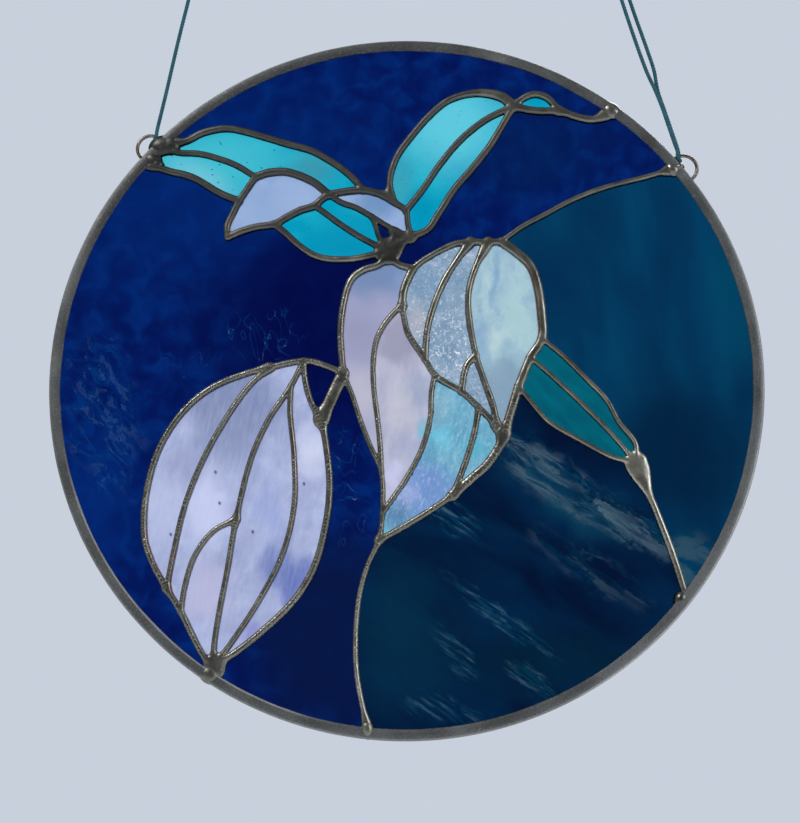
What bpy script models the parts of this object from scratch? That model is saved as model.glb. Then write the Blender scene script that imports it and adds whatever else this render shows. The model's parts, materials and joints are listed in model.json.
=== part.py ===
"""Round copper-foil stained glass window, hung on cords.

A flat disc of cut glass pieces shows a flower, a bud and leaves on a blue
ground. Each glass piece is its own solid. One fused solder network holds them:
its web fills the joints and its beads lap over both faces of the glass. A lead
came closes the rim, two wire rings stand on the rim's edge, and a cord hangs in
each ring.

X is right, Z is up and the front looks along -Y. The origin is the level that
the cords hang from, midway between their upper ends. The drawing is in
millimetres from the centre of a disc of 150 mm radius, x to the right and z up, and is
scaled to the disc that is built.
"""

import math

import bmesh
import bpy
from mathutils import Matrix, Vector
from mathutils.geometry import tessellate_polygon

MM = 0.001

# Driving dimensions, in millimetres
RIM_OUTER_R = 150.0
RIM_LIP_WIDTH = 4.8
RIM_WALL = 1.0
RIM_LIP = 1.3
RIM_ROUNDING = 0.55
RIM_SEGMENTS = 56
GLASS_THICKNESS = 3.0
WEB_WIDTH = 0.8
BEAD_HEIGHT = 1.0
EDGE_BEAD_WIDTH = 0.6
FIT = 0.3
RING_WIRE_D = 1.5
RING_OUTER_D = 13.0
RING_STANDS_OUT = 0.2
RING_SEGMENTS = 10
CORD_D = 1.8
CORD_STEP = 4.8
KNOT_D = 3.8
KNOT_LENGTH = 4.6
PANEL_DROP = 176.0

# How finely the drawn curves are cut into straight edges
DRAW_STEP = 1.2
CHORD_ERROR = 0.85
SHORTEST_EDGE = 0.05
NEARLY_STRAIGHT = 0.08

# Sizes that follow from the driving dimensions
RIM_LIP_R = RIM_OUTER_R - RIM_LIP_WIDTH
CHANNEL_R = RIM_OUTER_R - RIM_WALL
GLASS_R = CHANNEL_R - FIT
SLOT_HALF = GLASS_THICKNESS / 2 + FIT
BEAD_FACE = SLOT_HALF + BEAD_HEIGHT
RIM_FACE = SLOT_HALF + RIM_LIP
SOLDER_R = RIM_LIP_R - FIT
DRAWING_SCALE = RIM_OUTER_R / 150
RING_MID_R = (RING_OUTER_D - RING_WIRE_D) / 2
RING_CENTRE_R = RIM_OUTER_R + RING_STANDS_OUT
CORD_BEND_R = (RING_WIRE_D + CORD_D) / 2 + FIT

# Where seams meet
JOINTS = {
    "fork_a": (-64.4, 88.5),
    "fork_b": (-71.2, 77.7),
    "turned_tip": (-75.8, 61.6),
    "turned_low": (-56.0, 67.2),
    "turned_mid": (-38.6, 75.4),
    "turned_end": (-32.5, 80.2),
    "leaf_end": (-17.8, 82.2),
    "tall_foot": (-6.6, 79.4),
    "tall_vein": (0.4, 72.8),
    "tall_neck": (2.4, 60.9),
    "tall_tip": (46.9, 119.6),
    "gap_top": (-14.2, 70.3),
    "gap_side": (-4.8, 63.4),
    "hub": (-7.2, 55.0),
    "tendril_end": (66.5, 117.2),
    "top_left": (3.4, 47.2),
    "top_mid": (27.8, 58.8),
    "top_right": (35.4, 58.6),
    "horizon": (41.0, 58.8),
    "cleft": (-1.3, 31.0),
    "fan": (8.4, 7.6),
    "front_foot": (12.4, 1.0),
    "tip_low": (23.6, -6.3),
    "tip_high": (29.7, 9.4),
    "low_fork": (30.6, -12.9),
    "side_low": (38.3, -21.2),
    "side": (41.1, -24.7),
    "leaf_root_top": (57.6, 16.4),
    "leaf_root_mid": (52.7, 8.2),
    "leaf_root_low": (47.6, -4.3),
    "low_corner": (19.6, -50.2),
    "left_meet": (-9.9, -40.2),
    "front_tip": (-9.4, -57.4),
    "bloom_tip": (-10.9, -68.8),
    "bud_meets_bloom": (-26.0, 1.8),
    "bud_top": (-42.8, 7.2),
    "bud_left_top": (-57.0, 4.5),
    "bud_split": (-48.0, -3.6),
    "bud_neck": (-35.0, -17.8),
    "bud_inner": (-70.0, -59.8),
    "bud_low_left": (-98.1, -88.4),
    "bud_low_mid": (-92.0, -97.8),
    "bud_foot": (-77.5, -119.2),
    "right_leaf_tip": (95.6, -36.6),
}

# Seams that run out to the rim, by their angle round the disc in degrees
RIM_JOINTS = {
    "rim_leaf_top": 135.0,
    "rim_leaf_vein": 136.6,
    "rim_leaf_low": 139.9,
    "rim_tendril": 52.5,
    "rim_horizon": 37.9,
    "rim_right_stem": -39.3,
    "rim_bloom_stem": -95.6,
    "rim_bud": -122.1,
}

# Puddles of solder where seams meet: extra half width, and how far it reaches. A pair
# of joints names one end of the seam between them.
FLARES = {
    "hub": (3.0, 6.5),
    ("hub", "tall_neck"): (3.4, 10.0),
    "tall_neck": (0.4, 4.0),
    "tall_foot": (0.8, 6.0),
    "tall_tip": (0.5, 5.0),
    ("tall_tip", "tall_foot"): (0.8, 26.0),
    "bud_foot": (1.6, 6.0),
    "rim_bud": (0.8, 4.0),
    "rim_bloom_stem": (1.0, 8.0),
    "rim_leaf_top": (1.6, 7.0),
    "rim_leaf_low": (1.2, 6.0),
    "rim_tendril": (1.4, 7.0),
    "rim_horizon": (1.6, 6.0),
    "cleft": (0.5, 3.0),
    ("top_mid", "fan"): (0.9, 8.0),
    ("top_right", "tip_high"): (1.1, 11.0),
    "side": (0.9, 6.0),
    "side_low": (0.8, 5.0),
    "bud_neck": (0.9, 7.0),
    ("bud_left_top", "bud_low_left"): (0.8, 7.0),
    "bud_inner": (0.6, 5.0),
    "bud_low_left": (0.5, 4.0),
    "low_corner": (0.5, 4.0),
    "bloom_tip": (0.5, 4.0),
    "tendril_end": (0.5, 4.0),
    "right_leaf_tip": (0.9, 5.0),
    ("right_leaf_tip", "rim_right_stem"): (3.4, 17.0),
}

# Each stroke of the drawing: half width of its bead, then what it runs through
STROKES = [
    (1.4, ["rim_leaf_top", (-95.6, 104.8), (-87.5, 108.7), (-78, 110.6), (-69, 109),
           (-50, 103.1), (-40, 100), (-30, 94), (-23.5, 88.8), "leaf_end"]),
    (1.2, ["rim_leaf_vein", (-97, 99.7), (-90, 99.3), (-83.8, 98), (-73, 94), "fork_a"]),
    (1.5, ["rim_leaf_low", (-101.2, 91.2), (-95, 89.7), (-89.4, 87.4), (-79.4, 81.2), "fork_b"]),
    (1.35, ["fork_a", "fork_b", (-74.2, 71.5), (-76.2, 66.4), "turned_tip"]),
    (1.5, ["turned_tip", (-70, 64.1), (-63.8, 66), "turned_low", (-51.2, 70),
           (-45, 73.3), "turned_mid", (-36, 78), "turned_end", (-26, 81.6),
           "leaf_end", (-13, 81.2), "tall_foot"]),
    (1.6, ["fork_a", (-58.5, 90.4), (-50.5, 90.6), (-40, 86.4), "turned_end"]),
    (1.15, ["turned_end", (-27, 76.6), (-21, 74.4), "gap_top", (-9.4, 67.2), "gap_side", "hub"]),
    (2.4, ["gap_side", (-0.8, 61.3), "tall_neck"]),
    (1.2, ["turned_mid", (-35, 72.7), (-28, 67.3), (-20, 61.9), (-13, 57.9), "hub"]),
    (1.4, ["turned_low", (-51.5, 63.6), (-45, 57.6), (-38, 53), (-30, 51.4), (-20, 51.9), "hub"]),
    (1.05, ["gap_top", (-12.6, 66.2), (-11.2, 61.5), "hub"]),
    (1.25, ["tall_foot", (-4.6, 76.8), "tall_vein", (1.2, 67.2), "tall_neck"]),
    (1.4, ["tall_foot", (-6.2, 89), (-3.1, 97.8), (2.5, 105.9), (10, 115), (18.1, 122.1),
           (26, 125.1), (34, 125.8), (42.5, 123.7), "tall_tip"]),
    (1.35, ["tall_vein", (7.5, 82.1), (15, 93.4), (24.4, 104.9), (35, 113.6), "tall_tip"]),
    (1.5, ["tall_tip", (43.2, 112.8), (36.9, 102.1), (29.4, 92.1), (21.3, 82.4),
           (13.8, 70.3), (9.8, 64.4), "tall_neck", "hub"]),
    (1.4, ["tall_tip", (51.5, 123.4), (56.5, 125), (62, 123), "tendril_end/over"]),
    (1.6, ["tall_tip", (53.8, 117.8), (60.5, 117.2), "tendril_end/under", (75, 114.2),
           (82, 113.3), "rim_tendril"]),
    (1.4, ["hub", (-3.2, 49.4), "top_left"]),
    (1.3, ["top_left", (7.5, 50.6), (13.8, 54.4), (21, 57.8), "top_mid", "top_right",
           "horizon"]),
    (1.1, ["horizon", (50, 65.4), (60, 70.8), (70, 76.3), (80, 80.6), (90, 83.8), (103, 87),
           "rim_horizon"]),
    (1.7, ["top_left", (1, 42.2), (-0.8, 36.8), "cleft"]),
    (1.15, ["cleft", (-4.4, 28.2), (-8.4, 23.4), (-12, 16.2), (-13.4, 7), (-13.1, -5),
           (-11.6, -17.3), (-10.4, -29), "left_meet"]),
    (1.25, ["cleft", (-0.4, 25.6), (1.3, 18.8), "fan", "front_foot", (17.6, -2.7), "tip_low",
           "low_fork", "side_low", "side"]),
    (1.4, ["fan", (9.4, 20.3), (12.4, 31.6), (17, 42.4), (22.5, 51.4), "top_mid"]),
    (1.35, ["top_right", (30.4, 48.6), (27.2, 38.4), (26.8, 28), "tip_high", (33.4, -2.5),
           (36.8, -12.6), "side_low"]),
    (1.4, ["tip_high", (25.8, 4.6), "tip_low"]),
    (1.15, ["front_foot", (11, -7), (10.5, -17.3), (7.2, -29.8), (1, -42.2), "front_tip"]),
    (1.9, ["horizon", (47.5, 54), (53.2, 48.2), (56.2, 38.8), (57.6, 27), "leaf_root_top",
           "leaf_root_mid", "leaf_root_low", (44.7, -13.3), "side", (39, -30),
           (33.9, -37.4), (28.4, -42.3), "low_corner"]),
    (1.35, ["low_corner", (13, -54.7), (1, -62.2), "bloom_tip"]),
    (1.3, ["low_fork", (29.5, -20.8), (26.4, -32.4), (22.9, -42), "low_corner"]),
    (1.4, ["hub", (-10.6, 49.4), (-18, 46.6), (-23, 42.2), (-26, 32.4), (-27.3, 19),
           "bud_meets_bloom"]),
    (1.1, ["bud_meets_bloom", (-21.9, -8.5), (-19, -17.5), (-14.4, -29.6), "left_meet",
           "front_tip", "bloom_tip", (-15.4, -79), (-18.8, -91.7), (-20.2, -109),
           (-19.4, -125), "rim_bloom_stem"]),
    (1.3, ["bud_meets_bloom", (-34.4, 5.4), "bud_top", "bud_left_top", (-68.8, 1.3),
           (-81, -4), (-90.5, -11.4), (-98.8, -22.2), (-104.6, -35), (-108, -52),
           (-107.8, -67.4), (-104.2, -77.8), "bud_low_left/outer", "bud_low_mid", (-86.2, -109),
           (-81.6, -116.6), "bud_foot"]),
    (2.7, ["bud_meets_bloom", (-30.4, -8), "bud_neck"]),
    (1.45, ["bud_neck", (-32.6, -31), (-31.3, -46), (-32.8, -62), (-37.6, -80), (-46, -93.8),
           (-58.6, -106), (-70.0, -115), "bud_foot"]),
    (1.3, ["bud_top", (-41.8, -2), (-39.2, -11), "bud_neck"]),
    (1.15, ["bud_left_top", (-65.7, -3.7), (-75, -17.3), (-84.2, -34.6), (-91.3, -53.5),
           (-95.5, -73), "bud_low_left"]),
    (1.15, ["bud_top", "bud_split", (-57, -17.6), (-64.2, -34.4), "bud_inner",
           (-73.1, -80), (-76.6, -100.3), (-78.1, -113), "bud_foot"]),
    (1.1, ["bud_inner", (-79.2, -64.6), (-86.8, -74.8), (-90.6, -87.4), "bud_low_mid"]),
    (1.15, ["bud_split", (-48.2, -15), (-46.3, -33), (-46, -54), (-50.6, -74.4),
           (-60, -93.4), (-70.4, -109.6), "bud_foot"]),
    (2.8, ["bud_foot", "rim_bud"]),
    (1.05, ["leaf_root_top", (66.8, 8.4), (76.4, -1.6), (84, -10), (89.2, -19.8), (95.6, -28.6),
           "right_leaf_tip"]),
    (0.95, ["leaf_root_mid", (62.4, -0.6), (74, -12), (86, -24.8), "right_leaf_tip"]),
    (1.0, ["leaf_root_low", (54.7, -13.5), (60.5, -19.8), (74.5, -28.2), (86, -34.4),
           "right_leaf_tip"]),
    (1.4, ["right_leaf_tip", (99.3, -46.4), (104, -58.6), (110, -76), "rim_right_stem"]),
]

# Every piece of glass: the joints round it, then the glass it is cut from. Where two
# seams join the same two joints, the word after the slash says which one leads there.
PIECES = {
    "glass_ground_left": (["rim_leaf_low", "fork_b", "turned_tip", "turned_low", "hub",
                           "bud_meets_bloom", "bud_top", "bud_left_top",
                           "bud_low_left/outer", "bud_low_mid", "bud_foot", "rim_bud"],
                          "cobalt"),
    "glass_ground_top": (["rim_leaf_top", "leaf_end", "tall_foot", "tall_tip",
                          "tendril_end/over", "rim_tendril"], "cobalt"),
    "glass_ground_upper_right": (["hub", "tall_neck", "tall_tip", "tendril_end/under",
                                  "rim_tendril", "rim_horizon", "horizon", "top_right",
                                  "top_mid", "top_left"], "cobalt"),
    "glass_ground_right": (["horizon", "rim_horizon", "rim_right_stem", "right_leaf_tip",
                            "leaf_root_top"], "deep_teal"),
    "glass_ground_low_right": (["leaf_root_low", "right_leaf_tip", "rim_right_stem",
                                "rim_bloom_stem", "bloom_tip", "low_corner", "side"],
                               "navy"),
    "glass_ground_low": (["bud_meets_bloom", "left_meet", "front_tip", "bloom_tip",
                          "rim_bloom_stem", "rim_bud", "bud_foot", "bud_neck"], "cobalt"),
    "glass_stem_gap": (["bud_meets_bloom", "bud_neck", "bud_top"], "cobalt"),
    "glass_branch_gap": (["gap_top", "gap_side", "hub"], "cobalt"),
    "glass_leaf_left_upper": (["rim_leaf_vein", "fork_a", "turned_end", "leaf_end",
                               "rim_leaf_top"], "turquoise"),
    "glass_leaf_left_lower": (["rim_leaf_low", "fork_b", "fork_a", "rim_leaf_vein"],
                              "turquoise"),
    "glass_leaf_turned": (["fork_a", "fork_b", "turned_tip", "turned_low", "turned_mid",
                           "turned_end"], "lilac"),
    "glass_leaf_low_upper": (["turned_mid", "hub", "gap_top", "turned_end"],
                             "turquoise"),
    "glass_leaf_low_lower": (["turned_low", "hub", "turned_mid"], "turquoise"),
    "glass_leaf_small": (["turned_end", "gap_top", "gap_side", "tall_neck", "tall_vein",
                          "tall_foot", "leaf_end"], "lilac"),
    "glass_leaf_tall_left": (["tall_foot", "tall_vein", "tall_tip"], "turquoise"),
    "glass_leaf_tall_right": (["tall_vein", "tall_neck", "tall_tip"], "turquoise"),
    "glass_tendril": (["tall_tip/over", "tendril_end/under"], "turquoise"),
    "glass_petal_left": (["hub", "bud_meets_bloom", "left_meet", "cleft", "top_left"],
                         "lilac"),
    "glass_petal_front": (["cleft", "left_meet", "front_tip", "front_foot", "fan"],
                          "wispy_lilac"),
    "glass_petal_icy_left": (["top_left", "cleft", "fan", "top_mid"], "icy"),
    "glass_petal_icy_right": (["top_mid", "fan", "front_foot", "tip_low", "tip_high",
                               "top_right"], "icy"),
    "glass_petal_icy_tip": (["tip_high", "tip_low", "low_fork", "side_low"], "icy"),
    "glass_petal_white": (["top_right", "tip_high", "side_low", "side", "leaf_root_low",
                           "leaf_root_mid", "leaf_root_top", "horizon"], "white_opal"),
    "glass_petal_low_left": (["front_foot", "front_tip", "bloom_tip", "low_corner",
                              "low_fork", "tip_low"], "pale_cyan"),
    "glass_petal_low_right": (["low_fork", "low_corner", "side", "side_low"], "pale_cyan"),
    "glass_bud_left": (["bud_left_top", "bud_low_left/outer"], "pale_violet"),
    "glass_bud_mid_left": (["bud_top", "bud_left_top", "bud_low_left", "bud_low_mid",
                            "bud_inner", "bud_split"], "pale_violet"),
    "glass_bud_inner": (["bud_inner", "bud_low_mid", "bud_foot"], "pale_violet"),
    "glass_bud_centre": (["bud_split", "bud_inner", "bud_foot"], "pale_violet"),
    "glass_bud_right": (["bud_top", "bud_split", "bud_foot", "bud_neck"], "pale_violet"),
    "glass_leaf_right_upper": (["leaf_root_top", "leaf_root_mid", "right_leaf_tip"], "teal"),
    "glass_leaf_right_lower": (["leaf_root_mid", "leaf_root_low", "right_leaf_tip"], "teal"),
}

# The glass and metals: base colour, roughness, metallic, transmission
FINISHES = {
    "cobalt": ((0.004, 0.022, 0.19), 0.08, 0.0, 0.6),
    "deep_teal": ((0.0, 0.05, 0.13), 0.08, 0.0, 0.6),
    "navy": ((0.001, 0.012, 0.075), 0.08, 0.0, 0.6),
    "turquoise": ((0.03, 0.45, 0.6), 0.12, 0.0, 0.6),
    "teal": ((0.002, 0.12, 0.19), 0.12, 0.0, 0.6),
    "lilac": ((0.5, 0.53, 0.78), 0.15, 0.0, 0.4),
    "wispy_lilac": ((0.55, 0.6, 0.8), 0.15, 0.0, 0.4),
    "icy": ((0.36, 0.46, 0.64), 0.2, 0.0, 0.5),
    "white_opal": ((0.55, 0.64, 0.72), 0.15, 0.0, 0.3),
    "pale_cyan": ((0.3, 0.56, 0.72), 0.18, 0.0, 0.5),
    "pale_violet": ((0.46, 0.48, 0.76), 0.15, 0.0, 0.4),
    "lead": ((0.09, 0.095, 0.09), 0.5, 1.0, 0.0),
    "solder": ((0.3, 0.29, 0.26), 0.35, 1.0, 0.0),
    "tinned_wire": ((0.28, 0.27, 0.25), 0.4, 1.0, 0.0),
    "teal_cord": ((0.02, 0.09, 0.12), 0.85, 0.0, 0.0),
}

# Where each ring stands, by its angle round the disc in degrees
RING_ANGLES = {"ring_left": 137.2, "ring_right": 37.3}

# Each strand: its ring, the place on the ring where it bends over the wire in degrees, the
# side it leaves on (-1 is the front) and how far beyond the middle plane it starts. Then
# its route up from the wire: x, share of the bend's radius kept to that side, and z.
CORDS = {
    "cord_left": ("ring_left", 63.0, -1, 0.4, [
        (0.3, 1.0, 2.4), (2.0, 0.97, 10.8), (3.8, 0.9, 19.8), (5.7, 0.82, 29.8), (7.7, 0.74, 40.3),
        (9.7, 0.67, 50.3), (11.6, 0.59, 59.3), (12.7, 0.54, 64.8)]),
    "cord_right_front": ("ring_right", 117.5, -1, -0.15, [
        (0.1, 1.0, 1.9), (-0.9, 1.0, 5.1), (-3.4, 0.97, 13.6), (-5.9, 0.95, 22.1), (-8.7, 0.92, 30.1),
        (-11.7, 0.9, 37.4), (-14.4, 0.82, 45.6), (-17.1, 0.77, 54.6), (-19.7, 0.72, 63.6),
        (-21.9, 0.67, 71.6), (-23.0, 0.62, 75.6)]),
    "cord_right_back": ("ring_right", 109.0, 1, -0.15, [
        (0.3, 1.0, 2.1), (-0.3, 1.0, 5.0), (-2.8, 0.97, 13.5), (-5.3, 0.95, 22.0), (-7.8, 0.92, 30.5),
        (-9.2, 0.9, 40.0), (-11.6, 0.82, 48.5), (-14.2, 0.77, 57.0), (-16.7, 0.72, 65.0),
        (-18.6, 0.67, 71.5), (-19.7, 0.62, 75.5)]),
}


def polar(radius, degrees):
    """A point on a circle round the middle of the disc."""
    angle = math.radians(degrees)
    return Vector((radius * math.cos(angle), radius * math.sin(angle)))


def smooth_curve(route, step):
    """Points about a step apart on a smooth curve through the route's own points."""
    route = [Vector(point) for point in route]
    padded = [2 * route[0] - route[1]] + route + [2 * route[-1] - route[-2]]
    legs = []
    for before, start, end, after in zip(padded, padded[1:], padded[2:], padded[3:]):
        chord = (end - start).length
        turn_in = (end - before) * chord / max((end - start).length + (start - before).length, 1e-6)
        turn_out = (after - start) * chord / max((after - end).length + chord, 1e-6)
        count = max(2, math.ceil(chord / step))
        leg = []
        for index in range(count):
            t = index / count
            leg.append(start * (2 * t ** 3 - 3 * t ** 2 + 1) + turn_in * (t ** 3 - 2 * t ** 2 + t)
                       + end * (3 * t ** 2 - 2 * t ** 3) + turn_out * (t ** 3 - t ** 2))
        legs.append(leg)
    legs[-1].append(route[-1])
    return legs


def distances(points):
    """How far along a curve each of its points is."""
    travelled = [0.0]
    for before, after in zip(points, points[1:]):
        travelled.append(travelled[-1] + (after - before).length)
    return travelled


def thinned(points, error):
    """Drop the points of a seam that its chords, and the widths along them, can do without."""
    start, end = points[0], points[-1]
    line = (end - start).normalized()
    offsets = [(point - start).cross(line).length for point in points]
    far = max(range(len(points)), key=lambda index: offsets[index])
    if offsets[far] < error:
        return [start, end]
    return thinned(points[:far + 1], error)[:-1] + thinned(points[far:], error)


def joint_place(name):
    if name in RIM_JOINTS:
        return polar(GLASS_R, RIM_JOINTS[name])
    return Vector(JOINTS[name]) * DRAWING_SCALE


def flared(half_width, points, start, end):
    """Each point of a seam, its third value the bead's half width, wider towards a puddle."""
    travelled = distances(points)
    result = []
    for point, distance in zip(points, travelled):
        width = half_width
        for joint, other, gone in ((start, end, distance), (end, start, travelled[-1] - distance)):
            extra, reach = FLARES.get((joint, other), FLARES.get(joint, (0.0, 1.0)))
            if joint in RIM_JOINTS:
                gone = max(0.0, gone - (GLASS_R - RIM_LIP_R))
            width += extra * max(0.0, 1 - gone / reach)
        result.append(Vector((point.x, point.y, width)))
    return result


def draw_seams():
    """Cut every stroke at its joints: (from, to, tag) gives the seam's points and widths."""
    seams = {}
    for half_width, items in STROKES:
        route = [joint_place(item.split("/")[0]) if isinstance(item, str)
                 else Vector(item) * DRAWING_SCALE for item in items]
        legs = smooth_curve(route, DRAW_STEP)
        start = items[0]
        points = []
        for leg, item, place in zip(legs, items[1:], route[1:]):
            points += leg
            if isinstance(item, str):
                joint, _, tag = item.partition("/")
                if (points[-1] - place).length > 1e-6:
                    points.append(place)
                seam = thinned(flared(half_width, points, start, joint), CHORD_ERROR)
                seams[start, joint, tag] = seam
                seams[joint, start, tag] = seam[::-1]
                start = joint
                points = []
    return seams


def rim_arc(start, end):
    """The stretch of the disc's edge between two rim joints, the short way round."""
    first = RIM_JOINTS[start]
    sweep = (RIM_JOINTS[end] - first + 180) % 360 - 180
    count = max(1, round(abs(sweep) * RIM_SEGMENTS / 360))
    return [polar(GLASS_R, first + sweep * index / count) for index in range(count + 1)]


def outline(joints, seams):
    """The edges round a piece, counter-clockwise: (start, end, half widths), rim edges None."""
    edges = []
    for index, item in enumerate(joints):
        start = item.split("/")[0]
        end, _, tag = joints[(index + 1) % len(joints)].partition("/")
        if (start, end, tag) in seams:
            seam = seams[start, end, tag]
            edges += [(a.xy, b.xy, (a.z, b.z)) for a, b in zip(seam, seam[1:])]
        else:
            arc = rim_arc(start, end)
            edges += [(a, b, None) for a, b in zip(arc, arc[1:])]
    if sum(a.cross(b) for a, b, _ in edges) < 0:
        edges = [(b, a, widths and widths[::-1]) for a, b, widths in reversed(edges)]
    return edges


def inset(edges, seam_inset, rim_inset):
    """Move the edges of a piece inwards, meet them again and drop what turned over.

    A point's third value is 1 where the edge that it starts lies along the rim.
    """
    moved = []
    for start, end, widths in edges:
        along = (end - start).normalized()
        inward = Vector((-along.y, along.x))
        if widths is None:
            near = far = rim_inset
        elif seam_inset is None:
            near, far = widths
        else:
            near = far = seam_inset
        moved.append((start + inward * near, end + inward * far, float(widths is None)))
    loop = []
    for (a, b, _), (c, d, on_rim) in zip(moved, moved[1:] + moved[:1]):
        turn = (b - a).normalized().cross((d - c).normalized())
        if abs(turn) < NEARLY_STRAIGHT:
            corner = [(b + c) / 2]
        else:
            corner = [a + (b - a) * ((c - a).cross(d - c) / (b - a).cross(d - c))]
            if turn < 0 and (corner[0] - b).length > 1.5 * (c - b).length:
                corner = [b, c]
        loop += [Vector((point.x, point.y, 0.0)) for point in corner[:-1]]
        loop.append(Vector((corner[-1].x, corner[-1].y, on_rim)))
    return tidy_loop(loop)


def area(loop):
    return sum(a.xy.cross(b.xy) for a, b in zip(loop, loop[1:] + loop[:1])) / 2


def crossing(loop):
    """The first two edges of a loop that cross, with the point where they do."""
    count = len(loop)
    flat = [point.xy for point in loop]
    for i in range(count):
        for j in range(i + 2, count - (i == 0)):
            a, b = flat[i], flat[i + 1]
            c, d = flat[j], flat[(j + 1) % count]
            first = (b - a).cross(c - a)
            second = (b - a).cross(d - a)
            third = (d - c).cross(a - c)
            fourth = (d - c).cross(b - c)
            if first * second < 0 and third * fourth < 0:
                return i, j, c + (d - c) * (first / (first - second))
    return None


def tidy_loop(loop):
    """Split a loop where it crosses itself and keep the largest part."""
    found = crossing(loop)
    while found:
        i, j, point = found
        inner = loop[i + 1:j + 1] + [Vector((point.x, point.y, loop[i].z))]
        outer = loop[j + 1:] + loop[:i + 1] + [Vector((point.x, point.y, loop[j].z))]
        loop = max((inner, outer), key=area)
        found = crossing(loop)
    return [point for point, after in zip(loop, loop[1:] + loop[:1])
            if (after - point).xy.length > SHORTEST_EDGE]


def add_prism(mesh, loop, front, back):
    """A closed slab with this outline, between two depths."""
    near = [mesh.verts.new((p.x * MM, front * MM, p.y * MM)) for p in loop]
    far = [mesh.verts.new((p.x * MM, back * MM, p.y * MM)) for p in loop]
    mesh.faces.new(near)
    mesh.faces.new(far[::-1])
    for index in range(len(loop)):
        after = (index + 1) % len(loop)
        mesh.faces.new((near[after], near[index], far[index], far[after]))


def finish(name):
    """The Principled material of one glass or metal."""
    material = bpy.data.materials.get(name)
    if material is None:
        colour, roughness, metallic, transmission = FINISHES[name]
        material = bpy.data.materials.new(name)
        material.use_nodes = True
        shader = material.node_tree.nodes["Principled BSDF"]
        shader.inputs["Base Color"].default_value = (*colour, 1.0)
        shader.inputs["Roughness"].default_value = roughness
        shader.inputs["Metallic"].default_value = metallic
        shader.inputs["Transmission Weight"].default_value = transmission
        material.diffuse_color = (*colour, 1.0)
    return material


def new_object(name, data, finish_name):
    piece = bpy.data.objects.new(name, data)
    bpy.context.collection.objects.link(piece)
    piece.location.z = -PANEL_DROP * MM
    data.materials.append(finish(finish_name))
    return piece


def object_from_bmesh(name, mesh, finish_name, smooth=False):
    mesh.normal_update()
    bmesh.ops.triangulate(mesh, faces=[face for face in mesh.faces if len(face.verts) > 4])
    data = bpy.data.meshes.new(name)
    mesh.to_mesh(data)
    mesh.free()
    if smooth:
        data.shade_smooth()
        data.set_sharp_from_angle(angle=math.radians(35))
    return new_object(name, data, finish_name)


def glass_pieces(outlines):
    for name, (_, glass) in PIECES.items():
        mesh = bmesh.new()
        loop = inset(outlines[name], WEB_WIDTH / 2 + FIT, 0.0)
        add_prism(mesh, loop, -GLASS_THICKNESS / 2, GLASS_THICKNESS / 2)
        object_from_bmesh(name, mesh, glass)


def rim_run(loop):
    """The points of a slot that lie along the rim, in order."""
    count = len(loop)
    starts = [index for index in range(count) if loop[index].z and not loop[index - 1].z]
    if not starts:
        return []
    run = [loop[starts[0]]]
    while run[-1].z:
        run.append(loop[(starts[0] + len(run)) % count])
    return run


def solder_seams(outlines):
    """The fused solder: a web between the pieces, and beads that lap over their faces."""
    edge_inset = GLASS_R - SOLDER_R
    slots = [inset(edges, WEB_WIDTH / 2, edge_inset) for edges in outlines.values()]
    windows = [inset(edges, None, edge_inset + EDGE_BEAD_WIDTH) for edges in outlines.values()]
    runs = sorted(filter(None, map(rim_run, slots)), key=lambda run: math.atan2(*run[0].yx))
    disc = [point for run in runs for point in run]
    mesh = bmesh.new()
    made = {}

    def corner(point, depth):
        key = (round(point.x, 4), round(point.y, 4), depth)
        if key not in made:
            made[key] = mesh.verts.new((point.x * MM, depth * MM, point.y * MM))
        return made[key]

    def face(loops, depth):
        points = [point for loop in loops for point in loop]
        flat = [[Vector((point.x, point.y, 0)) for point in loop] for loop in loops]
        for triangle in tessellate_polygon(flat):
            mesh.faces.new([corner(points[index], depth) for index in triangle])

    def wall(start, end, front, back):
        mesh.faces.new((corner(start, front), corner(end, front),
                        corner(end, back), corner(start, back)))

    for side in (-1, 1):
        bead, ledge = side * BEAD_FACE, side * SLOT_HALF
        face([disc] + windows, bead)
        for slot, window in zip(slots, windows):
            face([slot, window], ledge)
            for start, end in zip(window, window[1:] + window[:1]):
                wall(start, end, bead, ledge)
        for start, end in zip(disc, disc[1:] + disc[:1]):
            wall(start, end, bead, ledge)
    for slot in slots:
        for start, end in zip(slot, slot[1:] + slot[:1]):
            if not start.z:
                wall(start, end, -SLOT_HALF, SLOT_HALF)
    for run, after in zip(runs, runs[1:] + runs[:1]):
        wall(run[-1], after[0], -SLOT_HALF, SLOT_HALF)
    bmesh.ops.recalc_face_normals(mesh, faces=mesh.faces)
    if mesh.calc_volume(signed=True) < 0:
        bmesh.ops.reverse_faces(mesh, faces=mesh.faces)
    return object_from_bmesh("solder_seams", mesh, "solder")


def rim_came():
    """The lead came: a U section with a rounded back, turned round the disc."""
    lip = [(RIM_LIP_R, -SLOT_HALF), (RIM_LIP_R, -RIM_FACE + RIM_ROUNDING),
           (RIM_LIP_R + RIM_LIP_WIDTH * 0.45, -RIM_FACE),
           (RIM_OUTER_R, -RIM_FACE + RIM_ROUNDING * 2)]
    back = [(radius, -depth) for radius, depth in reversed(lip)]
    section = lip + back + [(CHANNEL_R, SLOT_HALF), (CHANNEL_R, -SLOT_HALF)]
    mesh = bmesh.new()
    verts = [mesh.verts.new((radius * MM, depth * MM, 0)) for radius, depth in section]
    edges = [mesh.edges.new((a, b)) for a, b in zip(verts, verts[1:] + verts[:1])]
    bmesh.ops.spin(mesh, geom=verts + edges, cent=(0, 0, 0), axis=(0, 1, 0),
                   angle=math.tau, steps=RIM_SEGMENTS, use_merge=True)
    bmesh.ops.recalc_face_normals(mesh, faces=mesh.faces)
    return object_from_bmesh("rim_came", mesh, "lead", smooth=True)


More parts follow.
